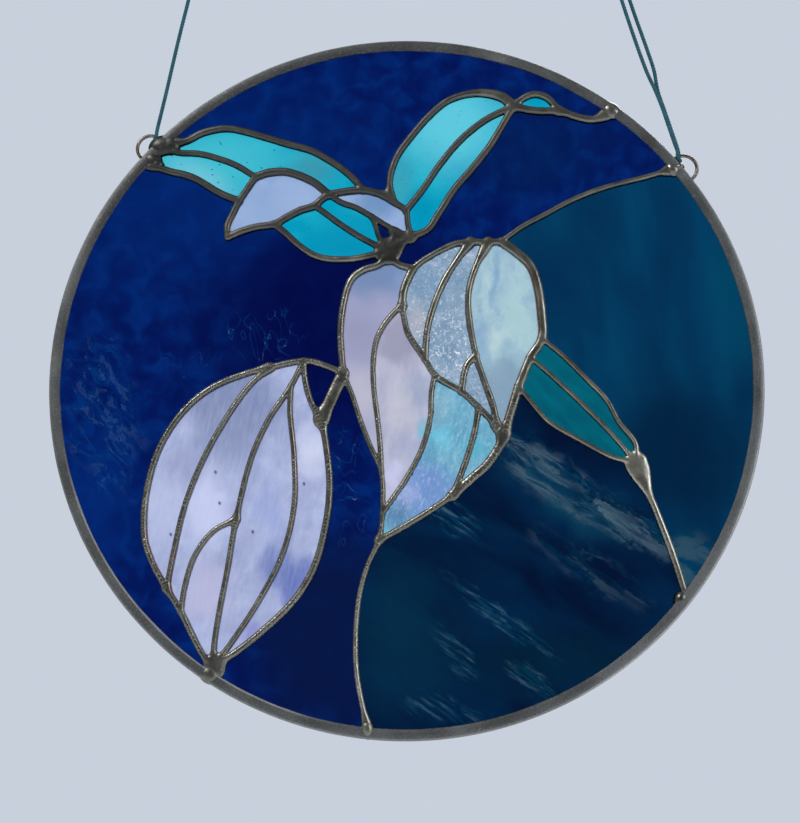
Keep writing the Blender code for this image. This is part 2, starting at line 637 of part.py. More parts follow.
def tube(name, points, diameter, finish_name, sides=2):
    """A round wire or cord: a bevelled curve of straight stretches with filled ends."""
    data = bpy.data.curves.new(name, "CURVE")
    data.dimensions = "3D"
    data.bevel_depth = diameter / 2 * MM
    data.bevel_resolution = sides
    data.use_fill_caps = True
    spline = data.splines.new("POLY")
    spline.points.add(len(points) - 1)
    for target, (x, y, z) in zip(spline.points, points):
        target.co = (x * MM, y * MM, z * MM, 1)
    return new_object(name, data, finish_name)


def ring(name, degrees):
    """A wire loop whose two ends stand on the came's outer edge."""
    centre = polar(RING_CENTRE_R, degrees)
    reach = math.acos((RIM_OUTER_R + FIT - RING_CENTRE_R) / RING_MID_R)
    points = []
    for index in range(RING_SEGMENTS + 1):
        turn = math.radians(degrees) + reach * (2 * index / RING_SEGMENTS - 1)
        points.append((centre.x + RING_MID_R * math.cos(turn), 0.0,
                       centre.y + RING_MID_R * math.sin(turn)))
    return tube(name, points, RING_WIRE_D, "tinned_wire")


def cord(name, ring_name, degrees, side, beyond, rise):
    """One strand of the hanging cord, bent over its ring's wire, and the knot just above it."""
    inward = -polar(1.0, degrees)
    wire = polar(RING_CENTRE_R, RING_ANGLES[ring_name]) - inward * RING_MID_R
    route = [(wire.x + inward.x * CORD_BEND_R, -side * beyond, wire.y + inward.y * CORD_BEND_R)]
    for turn in (math.radians(30), math.radians(60), math.radians(90)):
        reach = inward * CORD_BEND_R * math.cos(turn)
        route.append((wire.x + reach.x, side * CORD_BEND_R * math.sin(turn), wire.y + reach.y))
    route += [(wire.x + x, side * CORD_BEND_R * share, wire.y + z) for x, share, z in rise]
    points = [point for leg in smooth_curve(route, CORD_STEP) for point in leg]
    tube(name, points, CORD_D, "teal_cord")
    along = (points[-1] - points[-2]).normalized()
    mesh = bmesh.new()
    bmesh.ops.create_icosphere(mesh, subdivisions=1, radius=0.5 * MM)
    place = points[-1] + along * (FIT + KNOT_LENGTH / 2)
    turn = along.to_track_quat("Z", "Y").to_matrix().to_4x4()
    size = Matrix.Diagonal((KNOT_D, KNOT_D, KNOT_LENGTH, 1))
    bmesh.ops.transform(mesh, matrix=Matrix.Translation(place * MM) @ turn @ size,
                        verts=mesh.verts)
    object_from_bmesh(name.replace("cord", "knot"), mesh, "teal_cord", smooth=True)


def main():
    for old in list(bpy.data.objects):
        bpy.data.objects.remove(old)
    seams = draw_seams()
    outlines = {name: outline(joints, seams) for name, (joints, _) in PIECES.items()}
    glass_pieces(outlines)
    solder_seams(outlines)
    rim_came()
    for name, degrees in RING_ANGLES.items():
        ring(name, degrees)
    for name, strand in CORDS.items():
        cord(name, *strand)


main()
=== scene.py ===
"""The looks of a round copper-foil stained glass window that hangs on cords.

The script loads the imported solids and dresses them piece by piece: the cords, every
piece of glass, the solder, the lead came and the wire rings. The picture is drawn in
millimetres from the centre of the disc, x to the right and z up, and faces -Y.
"""

import json
import math

import bpy
import numpy as np
from mathutils import Matrix, Vector, noise

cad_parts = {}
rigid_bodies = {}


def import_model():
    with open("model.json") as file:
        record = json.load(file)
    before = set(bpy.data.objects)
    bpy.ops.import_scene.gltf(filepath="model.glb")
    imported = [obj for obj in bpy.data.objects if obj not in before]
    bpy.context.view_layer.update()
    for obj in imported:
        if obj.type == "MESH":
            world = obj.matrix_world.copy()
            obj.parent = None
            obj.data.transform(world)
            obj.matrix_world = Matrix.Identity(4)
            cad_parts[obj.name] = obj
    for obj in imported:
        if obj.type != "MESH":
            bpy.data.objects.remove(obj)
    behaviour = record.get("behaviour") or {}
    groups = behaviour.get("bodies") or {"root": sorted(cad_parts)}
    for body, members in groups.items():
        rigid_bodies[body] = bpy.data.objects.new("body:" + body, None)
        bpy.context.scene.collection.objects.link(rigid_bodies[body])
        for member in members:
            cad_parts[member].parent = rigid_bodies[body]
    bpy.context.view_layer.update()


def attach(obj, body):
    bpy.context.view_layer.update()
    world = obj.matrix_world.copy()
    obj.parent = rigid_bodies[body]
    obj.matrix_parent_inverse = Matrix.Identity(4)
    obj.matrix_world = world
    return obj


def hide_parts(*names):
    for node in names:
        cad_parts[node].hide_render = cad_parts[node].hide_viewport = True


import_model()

MM = 0.001
PANEL_DROP = 176.0

# Camera: a little below the middle of the panel and looking up at it
camera = bpy.data.objects.new("camera", bpy.data.cameras.new("camera"))
bpy.context.collection.objects.link(camera)
camera.data.lens = 72.85
camera.location = (0.01413, -0.68431, -0.32270)
camera.rotation_euler = Vector((-0.02335, 0.98158, 0.18963)).to_track_quat("-Z", "Y").to_euler()
bpy.context.scene.camera = camera
bpy.context.scene.view_settings.view_transform = "Standard"


# Hanging cord: thin dark teal cord of three plies twisted together. It is looped through
# each ring, doubled on the right, and runs up to small knots just above the view.
CORD_D = 1.8
CORD_PITCH = 4.2
CORD_STEP = 0.45
PLY_R = CORD_D * 0.35
PLY_OFFSET = CORD_D * 0.15
PLY_SIDES = 9
KNOT_D = 3.8
KNOT_LENGTH = 4.3
KNOT_CORD_R = 0.75
KNOT_POINTS = 60
CORD_FIT = 0.3
RING_WIRE_D = 1.5
RING_OUTER_D = 13.0
RING_CENTRE_R = 150.2
RING_MID_R = (RING_OUTER_D - RING_WIRE_D) / 2
RING_ANGLES = {"ring_left": 137.2, "ring_right": 37.3}
CORD_BEND_R = (RING_WIRE_D + CORD_D) / 2 + CORD_FIT

# Each strand: its ring, the place on the ring where it bends over the wire in degrees, the
# side it leaves on (-1 is the front) and how far beyond the middle plane it starts. Then
# its route up from the wire: x, share of the bend's radius kept to that side, and z.
CORDS = {
    "cord_left": ("ring_left", 63.0, -1, 0.4, [
        (0.3, 1.0, 2.4), (2.0, 0.97, 10.8), (3.8, 0.9, 19.8), (5.7, 0.82, 29.8), (7.7, 0.74, 40.3),
        (9.7, 0.67, 50.3), (11.6, 0.59, 59.3), (12.7, 0.54, 64.8)]),
    "cord_right_front": ("ring_right", 117.5, -1, -0.15, [
        (0.1, 1.0, 1.9), (-0.9, 1.0, 5.1), (-3.4, 0.97, 13.6), (-5.9, 0.95, 22.1), (-8.7, 0.92, 30.1),
        (-11.7, 0.9, 37.4), (-14.4, 0.82, 45.6), (-17.1, 0.77, 54.6), (-19.7, 0.72, 63.6),
        (-21.9, 0.67, 71.6), (-23.0, 0.62, 75.6)]),
    "cord_right_back": ("ring_right", 109.0, 1, -0.15, [
        (0.3, 1.0, 2.1), (-0.3, 1.0, 5.0), (-2.8, 0.97, 13.5), (-5.3, 0.95, 22.0), (-7.8, 0.92, 30.5),
        (-9.2, 0.9, 40.0), (-11.6, 0.82, 48.5), (-14.2, 0.77, 57.0), (-16.7, 0.72, 65.0),
        (-18.6, 0.67, 71.5), (-19.7, 0.62, 75.5)]),
}


def polar(radius, degrees):
    """A point on a circle round the middle of the disc."""
    angle = math.radians(degrees)
    return Vector((radius * math.cos(angle), radius * math.sin(angle)))


def smooth_curve(route, step):
    """Points about a step apart on a smooth curve through the route's own points."""
    route = [Vector(point) for point in route]
    padded = [2 * route[0] - route[1]] + route + [2 * route[-1] - route[-2]]
    legs = []
    for before, start, end, after in zip(padded, padded[1:], padded[2:], padded[3:]):
        chord = (end - start).length
        turn_in = (end - before) * chord / max((end - start).length + (start - before).length, 1e-6)
        turn_out = (after - start) * chord / max((after - end).length + chord, 1e-6)
        count = max(2, math.ceil(chord / step))
        leg = []
        for index in range(count):
            t = index / count
            leg.append(start * (2 * t ** 3 - 3 * t ** 2 + 1) + turn_in * (t ** 3 - 2 * t ** 2 + t)
                       + end * (3 * t ** 2 - 2 * t ** 3) + turn_out * (t ** 3 - t ** 2))
        legs.append(leg)
    legs[-1].append(route[-1])
    return legs


def in_place(point):
    """A point of the drawing, x, depth and z in millimetres, as a place in the scene."""
    return Vector((point[0] * MM, point[1] * MM, (point[2] - PANEL_DROP) * MM))


def new_piece(name, mesh, material, replaced=(), sharp=180):
    """Link a finished mesh, dress it, and say which solids it stands for."""
    mesh.materials.clear()
    mesh.materials.append(material)
    mesh.shade_smooth()
    mesh.set_sharp_from_angle(angle=math.radians(sharp))
    piece = bpy.data.objects.new(name, mesh)
    bpy.context.collection.objects.link(piece)
    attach(piece, "root")
    for node in replaced:
        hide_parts(node)
    return piece


def new_material(name, roughness=0.5, metallic=0.0):
    """A material, its node tree and shader, and the drawing's own millimetres as coordinates."""
    material = bpy.data.materials.new(name)
    material.use_nodes = True
    tree = material.node_tree
    shader = tree.nodes["Principled BSDF"]
    shader.inputs["Roughness"].default_value = roughness
    shader.inputs["Metallic"].default_value = metallic
    place = tree.nodes.new("ShaderNodeMapping")
    place.inputs["Location"].default_value = (0, 0, PANEL_DROP)
    place.inputs["Scale"].default_value = (1 / MM, 1 / MM, 1 / MM)
    tree.links.new(tree.nodes.new("ShaderNodeTexCoord").outputs["Object"], place.inputs["Vector"])
    return material, tree, shader, place.outputs["Vector"]


def mapped(tree, place, centre=(0, 0), size=(1, 1), turn=0.0):
    """The drawing's coordinates from a centre, turned by degrees and counted in the given sizes."""
    node = tree.nodes.new("ShaderNodeMapping")
    node.vector_type = "TEXTURE"
    node.inputs["Location"].default_value = (centre[0], 0, centre[1])
    node.inputs["Rotation"].default_value = (0, -math.radians(turn), 0)
    node.inputs["Scale"].default_value = (size[0], min(size), size[1])
    tree.links.new(place, node.inputs["Vector"])
    return node.outputs["Vector"]


def clouds(tree, place, size, detail=2.0, rough=0.5, warp=0.0, turn=0.0, shift=(0, 0)):
    """Soft noise whose lumps are about this size across, in millimetres."""
    size = size if isinstance(size, tuple) else (size, size)
    node = tree.nodes.new("ShaderNodeTexNoise")
    node.inputs["Scale"].default_value = 1.0
    node.inputs["Detail"].default_value = detail
    node.inputs["Roughness"].default_value = rough
    node.inputs["Distortion"].default_value = warp
    tree.links.new(mapped(tree, place, shift, size, turn), node.inputs["Vector"])
    return node.outputs["Fac"]


def ramp(tree, value, stops):
    """A colour for each value: stops are pairs of a value and a colour."""
    node = tree.nodes.new("ShaderNodeValToRGB")
    elements = node.color_ramp.elements
    for index, (position, colour) in enumerate(stops):
        element = elements[index] if index < 2 else elements.new(position)
        element.position = position
        element.color = (*colour, 1) if isinstance(colour, tuple) else (colour, colour, colour, 1)
    tree.links.new(value, node.inputs["Fac"])
    return node.outputs["Color"]


def spread(tree, value, low, high, first=0.0, last=1.0):
    """Stretch the values between low and high to first and last, eased at both ends."""
    node = tree.nodes.new("ShaderNodeMapRange")
    node.interpolation_type = "SMOOTHSTEP"
    for name, number in (("From Min", low), ("From Max", high), ("To Min", first), ("To Max", last)):
        node.inputs[name].default_value = number
    tree.links.new(value, node.inputs["Value"])
    return node.outputs["Result"]


def fill(tree, socket, value):
    """Link a socket to another, or give it a plain number or colour."""
    if isinstance(value, bpy.types.NodeSocket):
        tree.links.new(value, socket)
    elif isinstance(value, tuple):
        socket.default_value = (*value, 1)
    else:
        socket.default_value = value


def layer(tree, share, below, above, mode="MIX"):
    """Lay one colour over another by a share from 0 to 1."""
    node = tree.nodes.new("ShaderNodeMix")
    node.data_type = "RGBA"
    node.blend_type = mode
    fill(tree, node.inputs["Factor"], share)
    fill(tree, node.inputs[6], below)
    fill(tree, node.inputs[7], above)
    return node.outputs[2]


def times(tree, first, second, operation="MULTIPLY", clamp=True):
    """Two values multiplied, or put together by another operation."""
    node = tree.nodes.new("ShaderNodeMath")
    node.operation = operation
    node.use_clamp = operation == "MULTIPLY" and clamp
    fill(tree, node.inputs[0], first)
    fill(tree, node.inputs[1], second)
    return node.outputs[0]


def radii_away(tree, place, centre=(0, 0), radii=(1, 1), turn=0.0):
    """How far a point of the drawing is from a centre, counted in an ellipse's radii."""
    flat = tree.nodes.new("ShaderNodeVectorMath")
    flat.operation = "MULTIPLY"
    flat.inputs[1].default_value = (1, 0, 1)
    length = tree.nodes.new("ShaderNodeVectorMath")
    length.operation = "LENGTH"
    tree.links.new(mapped(tree, place, centre, radii, turn), flat.inputs[0])
    tree.links.new(flat.outputs[0], length.inputs[0])
    return length.outputs["Value"]


def patch(tree, place, centre, radii, turn=0.0, core=0.3):
    """1 in the core of an ellipse on the drawing, falling to 0 at its edge."""
    return spread(tree, radii_away(tree, place, centre, radii, turn), core, 1.0, 1.0, 0.0)


def bump(tree, shader, height, depth, strength=1.0):
    """Relief of this depth in millimetres on a shader."""
    node = tree.nodes.new("ShaderNodeBump")
    node.inputs["Strength"].default_value = strength
    node.inputs["Distance"].default_value = depth * MM
    tree.links.new(height, node.inputs["Height"])
    tree.links.new(node.outputs["Normal"], shader.inputs["Normal"])


def yarn():
    """Dark teal twisted yarn: fine fibres, lighter where they are rubbed."""
    material, tree, shader, place = new_material("cord_yarn", roughness=0.8)
    fibres = clouds(tree, place, (0.25, 0.9), detail=3.0, rough=0.7)
    tone = ramp(tree, fibres, [(0.3, (0.002, 0.045, 0.075)), (0.72, (0.012, 0.15, 0.2))])
    worn = spread(tree, clouds(tree, place, 4.0), 0.5, 0.75, 0.0, 0.35)
    tree.links.new(layer(tree, worn, tone, (0.03, 0.2, 0.26)), shader.inputs["Base Color"])
    shader.inputs["Sheen Weight"].default_value = 0.15
    bump(tree, shader, fibres, 0.12)
    return material


def cord_line(ring_name, degrees, side, beyond, rise):
    """The middle of a strand: over the ring's wire, and up."""
    inward = -polar(1.0, degrees)
    wire = polar(RING_CENTRE_R, RING_ANGLES[ring_name]) - inward * RING_MID_R
    route = [(wire.x + inward.x * CORD_BEND_R, -side * beyond, wire.y + inward.y * CORD_BEND_R)]
    for turn in (math.radians(30), math.radians(60), math.radians(90)):
        arm = inward * CORD_BEND_R * math.cos(turn)
        route.append((wire.x + arm.x, side * CORD_BEND_R * math.sin(turn), wire.y + arm.y))
    route += [(wire.x + x, side * CORD_BEND_R * share, wire.y + z) for x, share, z in rise]
    return [in_place(point) for leg in smooth_curve(route, CORD_STEP) for point in leg]


def twisted_mesh(name, line):
    """Three plies wound round a line, each a closed tube."""
    verts, faces = [], []
    across = (line[1] - line[0]).orthogonal().normalized()
    frames = []
    gone = 0.0
    for before, here, after in zip([line[0]] + line[:-1], line, line[1:] + [line[-1]]):
        along = (after - before).normalized()
        across = (across - along * across.dot(along)).normalized()
        gone += (here - before).length
        frames.append((here, across, along.cross(across), math.tau * gone / (CORD_PITCH * MM)))
    for ply in (0.0, math.tau / 3, -math.tau / 3):
        first = len(verts)
        for here, across, up, turn in frames:
            aside = across * math.cos(turn + ply) + up * math.sin(turn + ply)
            middle = here + aside * PLY_OFFSET * MM
            for side in range(PLY_SIDES):
                angle = math.tau * side / PLY_SIDES + turn
                spoke = across * math.cos(angle) + up * math.sin(angle)
                verts.append(middle + spoke * PLY_R * MM)
        for row in range(len(frames) - 1):
            for side in range(PLY_SIDES):
                a = first + row * PLY_SIDES + side
                b = first + row * PLY_SIDES + (side + 1) % PLY_SIDES
                faces.append((a, b, b + PLY_SIDES, a + PLY_SIDES))
        last = len(verts) - PLY_SIDES
        faces.append(tuple(range(first + PLY_SIDES - 1, first - 1, -1)))
        faces.append(tuple(range(last, last + PLY_SIDES)))
    mesh = bpy.data.meshes.new(name)
    mesh.from_pydata(verts, [], faces)
    return mesh


def knot_mesh(name, place, along):
    """A small tight overhand knot: a tube on a trefoil, squeezed to the knot's size."""
    wide = (KNOT_D / 2 - KNOT_CORD_R) / 3
    tall = KNOT_LENGTH / 2 - KNOT_CORD_R
    data = bpy.data.curves.new(name, "CURVE")
    data.dimensions = "3D"
    data.bevel_depth = KNOT_CORD_R * MM
    data.bevel_resolution = 3
    spline = data.splines.new("POLY")
    spline.points.add(KNOT_POINTS - 1)
    spline.use_cyclic_u = True
    turn = along.to_track_quat("Z", "Y").to_matrix().to_4x4()
    for index, point in enumerate(spline.points):
        t = math.tau * index / KNOT_POINTS
        loop = Vector((wide * (math.sin(t) + 2 * math.sin(2 * t)),
                       wide * (math.cos(t) - 2 * math.cos(2 * t)), -tall * math.sin(3 * t)))
        point.co = (*(place + (turn @ loop) * MM), 1)
    holder = bpy.data.objects.new(name, data)
    mesh = bpy.data.meshes.new_from_object(holder)
    bpy.data.objects.remove(holder)
    return mesh


cord_yarn = yarn()
for strand, facts in CORDS.items():
    line = cord_line(*facts)
    along = (line[-1] - line[-2]).normalized()
    cord_piece = new_piece(strand + "_twist", twisted_mesh(strand, line), cord_yarn, [strand])
    knot_name = strand.replace("cord", "knot")
    middle = line[-1] + along * (CORD_FIT + KNOT_LENGTH / 2) * MM
    knot_piece = new_piece(knot_name + "_tied", knot_mesh(knot_name, middle, along), cord_yarn,
                           [knot_name])


# Sheet glass: 32 pieces cut to the drawing from 3 mm coloured sheets, their edges
# ground and wrapped in copper foil. Each lies loose between its neighbours until soldered.
GLASS_THICKNESS = 3.0
GLASS_R = 148.7
RIM_LIP_R = 145.2
FOIL_GAP = 0.7
DRAW_STEP = 1.0

# Where seams meet
JOINTS = {
    "fork_a": (-64.4, 88.5),
    "fork_b": (-71.2, 77.7),
    "turned_tip": (-75.8, 61.6),
    "turned_low": (-56.0, 67.2),
    "turned_mid": (-38.6, 75.4),
    "turned_end": (-32.5, 80.2),
    "leaf_end": (-17.8, 82.2),
    "tall_foot": (-6.6, 79.4),
    "tall_vein": (0.4, 72.8),
    "tall_neck": (2.4, 60.9),
    "tall_tip": (46.9, 119.6),
    "gap_top": (-14.2, 70.3),
    "gap_side": (-4.8, 63.4),
    "hub": (-7.2, 55.0),
    "tendril_end": (66.5, 117.2),
    "top_left": (3.4, 47.2),
    "top_mid": (27.8, 58.8),
    "top_right": (35.4, 58.6),
    "horizon": (41.0, 58.8),
    "cleft": (-1.3, 31.0),
    "fan": (8.4, 7.6),
    "front_foot": (12.4, 1.0),
    "tip_low": (23.6, -6.3),
    "tip_high": (29.7, 9.4),
    "low_fork": (30.6, -12.9),
    "side_low": (38.3, -21.2),
    "side": (41.1, -24.7),
    "leaf_root_top": (57.6, 16.4),
    "leaf_root_mid": (52.7, 8.2),
    "leaf_root_low": (47.6, -4.3),
    "low_corner": (19.6, -50.2),
    "left_meet": (-9.9, -40.2),
    "front_tip": (-9.4, -57.4),
    "bloom_tip": (-10.9, -68.8),
    "bud_meets_bloom": (-26.0, 1.8),
    "bud_top": (-42.8, 7.2),
    "bud_left_top": (-57.0, 4.5),
    "bud_split": (-48.0, -3.6),
    "bud_neck": (-35.0, -17.8),
    "bud_inner": (-70.0, -59.8),
    "bud_low_left": (-98.1, -88.4),
    "bud_low_mid": (-92.0, -97.8),
    "bud_foot": (-77.5, -119.2),
    "right_leaf_tip": (95.6, -36.6),
}

# Seams that run out to the rim, by their angle round the disc in degrees
RIM_JOINTS = {
    "rim_leaf_top": 135.0,
    "rim_leaf_vein": 136.6,
    "rim_leaf_low": 139.9,
    "rim_tendril": 52.5,
    "rim_horizon": 37.9,
    "rim_right_stem": -39.3,
    "rim_bloom_stem": -95.6,
    "rim_bud": -122.1,
}

# Puddles of solder where seams meet: extra half width, and how far it reaches. A pair
# of joints names one end of the seam between them.
FLARES = {
    "hub": (3.0, 6.5),
    ("hub", "tall_neck"): (3.4, 10.0),
    "tall_neck": (0.4, 4.0),
    "tall_foot": (0.8, 6.0),
    "tall_tip": (0.5, 5.0),
    ("tall_tip", "tall_foot"): (0.8, 26.0),
    "bud_foot": (1.6, 6.0),
    "rim_bud": (0.8, 4.0),
    "rim_bloom_stem": (1.0, 8.0),
    "rim_leaf_top": (1.6, 7.0),
    "rim_leaf_low": (1.2, 6.0),
    "rim_tendril": (1.4, 7.0),
    "rim_horizon": (1.6, 6.0),
    "cleft": (0.5, 3.0),
    ("top_mid", "fan"): (0.9, 8.0),
    ("top_right", "tip_high"): (1.1, 11.0),
    "side": (0.9, 6.0),
    "side_low": (0.8, 5.0),
    "bud_neck": (0.9, 7.0),
    ("bud_left_top", "bud_low_left"): (0.8, 7.0),
    "bud_inner": (0.6, 5.0),
    "bud_low_left": (0.5, 4.0),
    "low_corner": (0.5, 4.0),
    "bloom_tip": (0.5, 4.0),
    "tendril_end": (0.5, 4.0),
    "right_leaf_tip": (0.9, 5.0),
    ("right_leaf_tip", "rim_right_stem"): (3.4, 17.0),
}

# Each stroke of the drawing: half width of its bead, then what it runs through
STROKES = [
    (1.4, ["rim_leaf_top", (-95.6, 104.8), (-87.5, 108.7), (-78, 110.6), (-69, 109),
           (-50, 103.1), (-40, 100), (-30, 94), (-23.5, 88.8), "leaf_end"]),
    (1.2, ["rim_leaf_vein", (-97, 99.7), (-90, 99.3), (-83.8, 98), (-73, 94), "fork_a"]),
    (1.5, ["rim_leaf_low", (-101.2, 91.2), (-95, 89.7), (-89.4, 87.4), (-79.4, 81.2), "fork_b"]),
    (1.35, ["fork_a", "fork_b", (-74.2, 71.5), (-76.2, 66.4), "turned_tip"]),
    (1.5, ["turned_tip", (-70, 64.1), (-63.8, 66), "turned_low", (-51.2, 70),
           (-45, 73.3), "turned_mid", (-36, 78), "turned_end", (-26, 81.6),
           "leaf_end", (-13, 81.2), "tall_foot"]),
    (1.6, ["fork_a", (-58.5, 90.4), (-50.5, 90.6), (-40, 86.4), "turned_end"]),
    (1.15, ["turned_end", (-27, 76.6), (-21, 74.4), "gap_top", (-9.4, 67.2), "gap_side", "hub"]),
    (2.4, ["gap_side", (-0.8, 61.3), "tall_neck"]),
    (1.2, ["turned_mid", (-35, 72.7), (-28, 67.3), (-20, 61.9), (-13, 57.9), "hub"]),
    (1.4, ["turned_low", (-51.5, 63.6), (-45, 57.6), (-38, 53), (-30, 51.4), (-20, 51.9), "hub"]),
    (1.05, ["gap_top", (-12.6, 66.2), (-11.2, 61.5), "hub"]),
    (1.25, ["tall_foot", (-4.6, 76.8), "tall_vein", (1.2, 67.2), "tall_neck"]),
    (1.4, ["tall_foot", (-6.2, 89), (-3.1, 97.8), (2.5, 105.9), (10, 115), (18.1, 122.1),
           (26, 125.1), (34, 125.8), (42.5, 123.7), "tall_tip"]),
    (1.35, ["tall_vein", (7.5, 82.1), (15, 93.4), (24.4, 104.9), (35, 113.6), "tall_tip"]),
    (1.5, ["tall_tip", (43.2, 112.8), (36.9, 102.1), (29.4, 92.1), (21.3, 82.4),
           (13.8, 70.3), (9.8, 64.4), "tall_neck", "hub"]),
    (1.4, ["tall_tip", (51.5, 123.4), (56.5, 125), (62, 123), "tendril_end/over"]),
    (1.6, ["tall_tip", (53.8, 117.8), (60.5, 117.2), "tendril_end/under", (75, 114.2),
           (82, 113.3), "rim_tendril"]),
    (1.4, ["hub", (-3.2, 49.4), "top_left"]),
    (1.3, ["top_left", (7.5, 50.6), (13.8, 54.4), (21, 57.8), "top_mid", "top_right",
           "horizon"]),
    (1.1, ["horizon", (50, 65.4), (60, 70.8), (70, 76.3), (80, 80.6), (90, 83.8), (103, 87),
           "rim_horizon"]),
    (1.7, ["top_left", (1, 42.2), (-0.8, 36.8), "cleft"]),
    (1.15, ["cleft", (-4.4, 28.2), (-8.4, 23.4), (-12, 16.2), (-13.4, 7), (-13.1, -5),
           (-11.6, -17.3), (-10.4, -29), "left_meet"]),
    (1.25, ["cleft", (-0.4, 25.6), (1.3, 18.8), "fan", "front_foot", (17.6, -2.7), "tip_low",
           "low_fork", "side_low", "side"]),
    (1.4, ["fan", (9.4, 20.3), (12.4, 31.6), (17, 42.4), (22.5, 51.4), "top_mid"]),
    (1.35, ["top_right", (30.4, 48.6), (27.2, 38.4), (26.8, 28), "tip_high", (33.4, -2.5),
           (36.8, -12.6), "side_low"]),
    (1.4, ["tip_high", (25.8, 4.6), "tip_low"]),
    (1.15, ["front_foot", (11, -7), (10.5, -17.3), (7.2, -29.8), (1, -42.2), "front_tip"]),
    (1.9, ["horizon", (47.5, 54), (53.2, 48.2), (56.2, 38.8), (57.6, 27), "leaf_root_top",
           "leaf_root_mid", "leaf_root_low", (44.7, -13.3), "side", (39, -30),
           (33.9, -37.4), (28.4, -42.3), "low_corner"]),
    (1.35, ["low_corner", (13, -54.7), (1, -62.2), "bloom_tip"]),
    (1.3, ["low_fork", (29.5, -20.8), (26.4, -32.4), (22.9, -42), "low_corner"]),
    (1.4, ["hub", (-10.6, 49.4), (-18, 46.6), (-23, 42.2), (-26, 32.4), (-27.3, 19),
           "bud_meets_bloom"]),
    (1.1, ["bud_meets_bloom", (-21.9, -8.5), (-19, -17.5), (-14.4, -29.6), "left_meet",
           "front_tip", "bloom_tip", (-15.4, -79), (-18.8, -91.7), (-20.2, -109),
           (-19.4, -125), "rim_bloom_stem"]),
    (1.3, ["bud_meets_bloom", (-34.4, 5.4), "bud_top", "bud_left_top", (-68.8, 1.3),
           (-81, -4), (-90.5, -11.4), (-98.8, -22.2), (-104.6, -35), (-108, -52),
           (-107.8, -67.4), (-104.2, -77.8), "bud_low_left/outer", "bud_low_mid", (-86.2, -109),
           (-81.6, -116.6), "bud_foot"]),
    (2.7, ["bud_meets_bloom", (-30.4, -8), "bud_neck"]),
    (1.45, ["bud_neck", (-32.6, -31), (-31.3, -46), (-32.8, -62), (-37.6, -80), (-46, -93.8),
           (-58.6, -106), (-70.0, -115), "bud_foot"]),
    (1.3, ["bud_top", (-41.8, -2), (-39.2, -11), "bud_neck"]),
    (1.15, ["bud_left_top", (-65.7, -3.7), (-75, -17.3), (-84.2, -34.6), (-91.3, -53.5),
           (-95.5, -73), "bud_low_left"]),
    (1.15, ["bud_top", "bud_split", (-57, -17.6), (-64.2, -34.4), "bud_inner",
           (-73.1, -80), (-76.6, -100.3), (-78.1, -113), "bud_foot"]),
    (1.1, ["bud_inner", (-79.2, -64.6), (-86.8, -74.8), (-90.6, -87.4), "bud_low_mid"]),
    (1.15, ["bud_split", (-48.2, -15), (-46.3, -33), (-46, -54), (-50.6, -74.4),
           (-60, -93.4), (-70.4, -109.6), "bud_foot"]),
    (2.8, ["bud_foot", "rim_bud"]),
    (1.05, ["leaf_root_top", (66.8, 8.4), (76.4, -1.6), (84, -10), (89.2, -19.8), (95.6, -28.6),
           "right_leaf_tip"]),
    (0.95, ["leaf_root_mid", (62.4, -0.6), (74, -12), (86, -24.8), "right_leaf_tip"]),
    (1.0, ["leaf_root_low", (54.7, -13.5), (60.5, -19.8), (74.5, -28.2), (86, -34.4),
           "right_leaf_tip"]),
    (1.4, ["right_leaf_tip", (99.3, -46.4), (104, -58.6), (110, -76), "rim_right_stem"]),
]

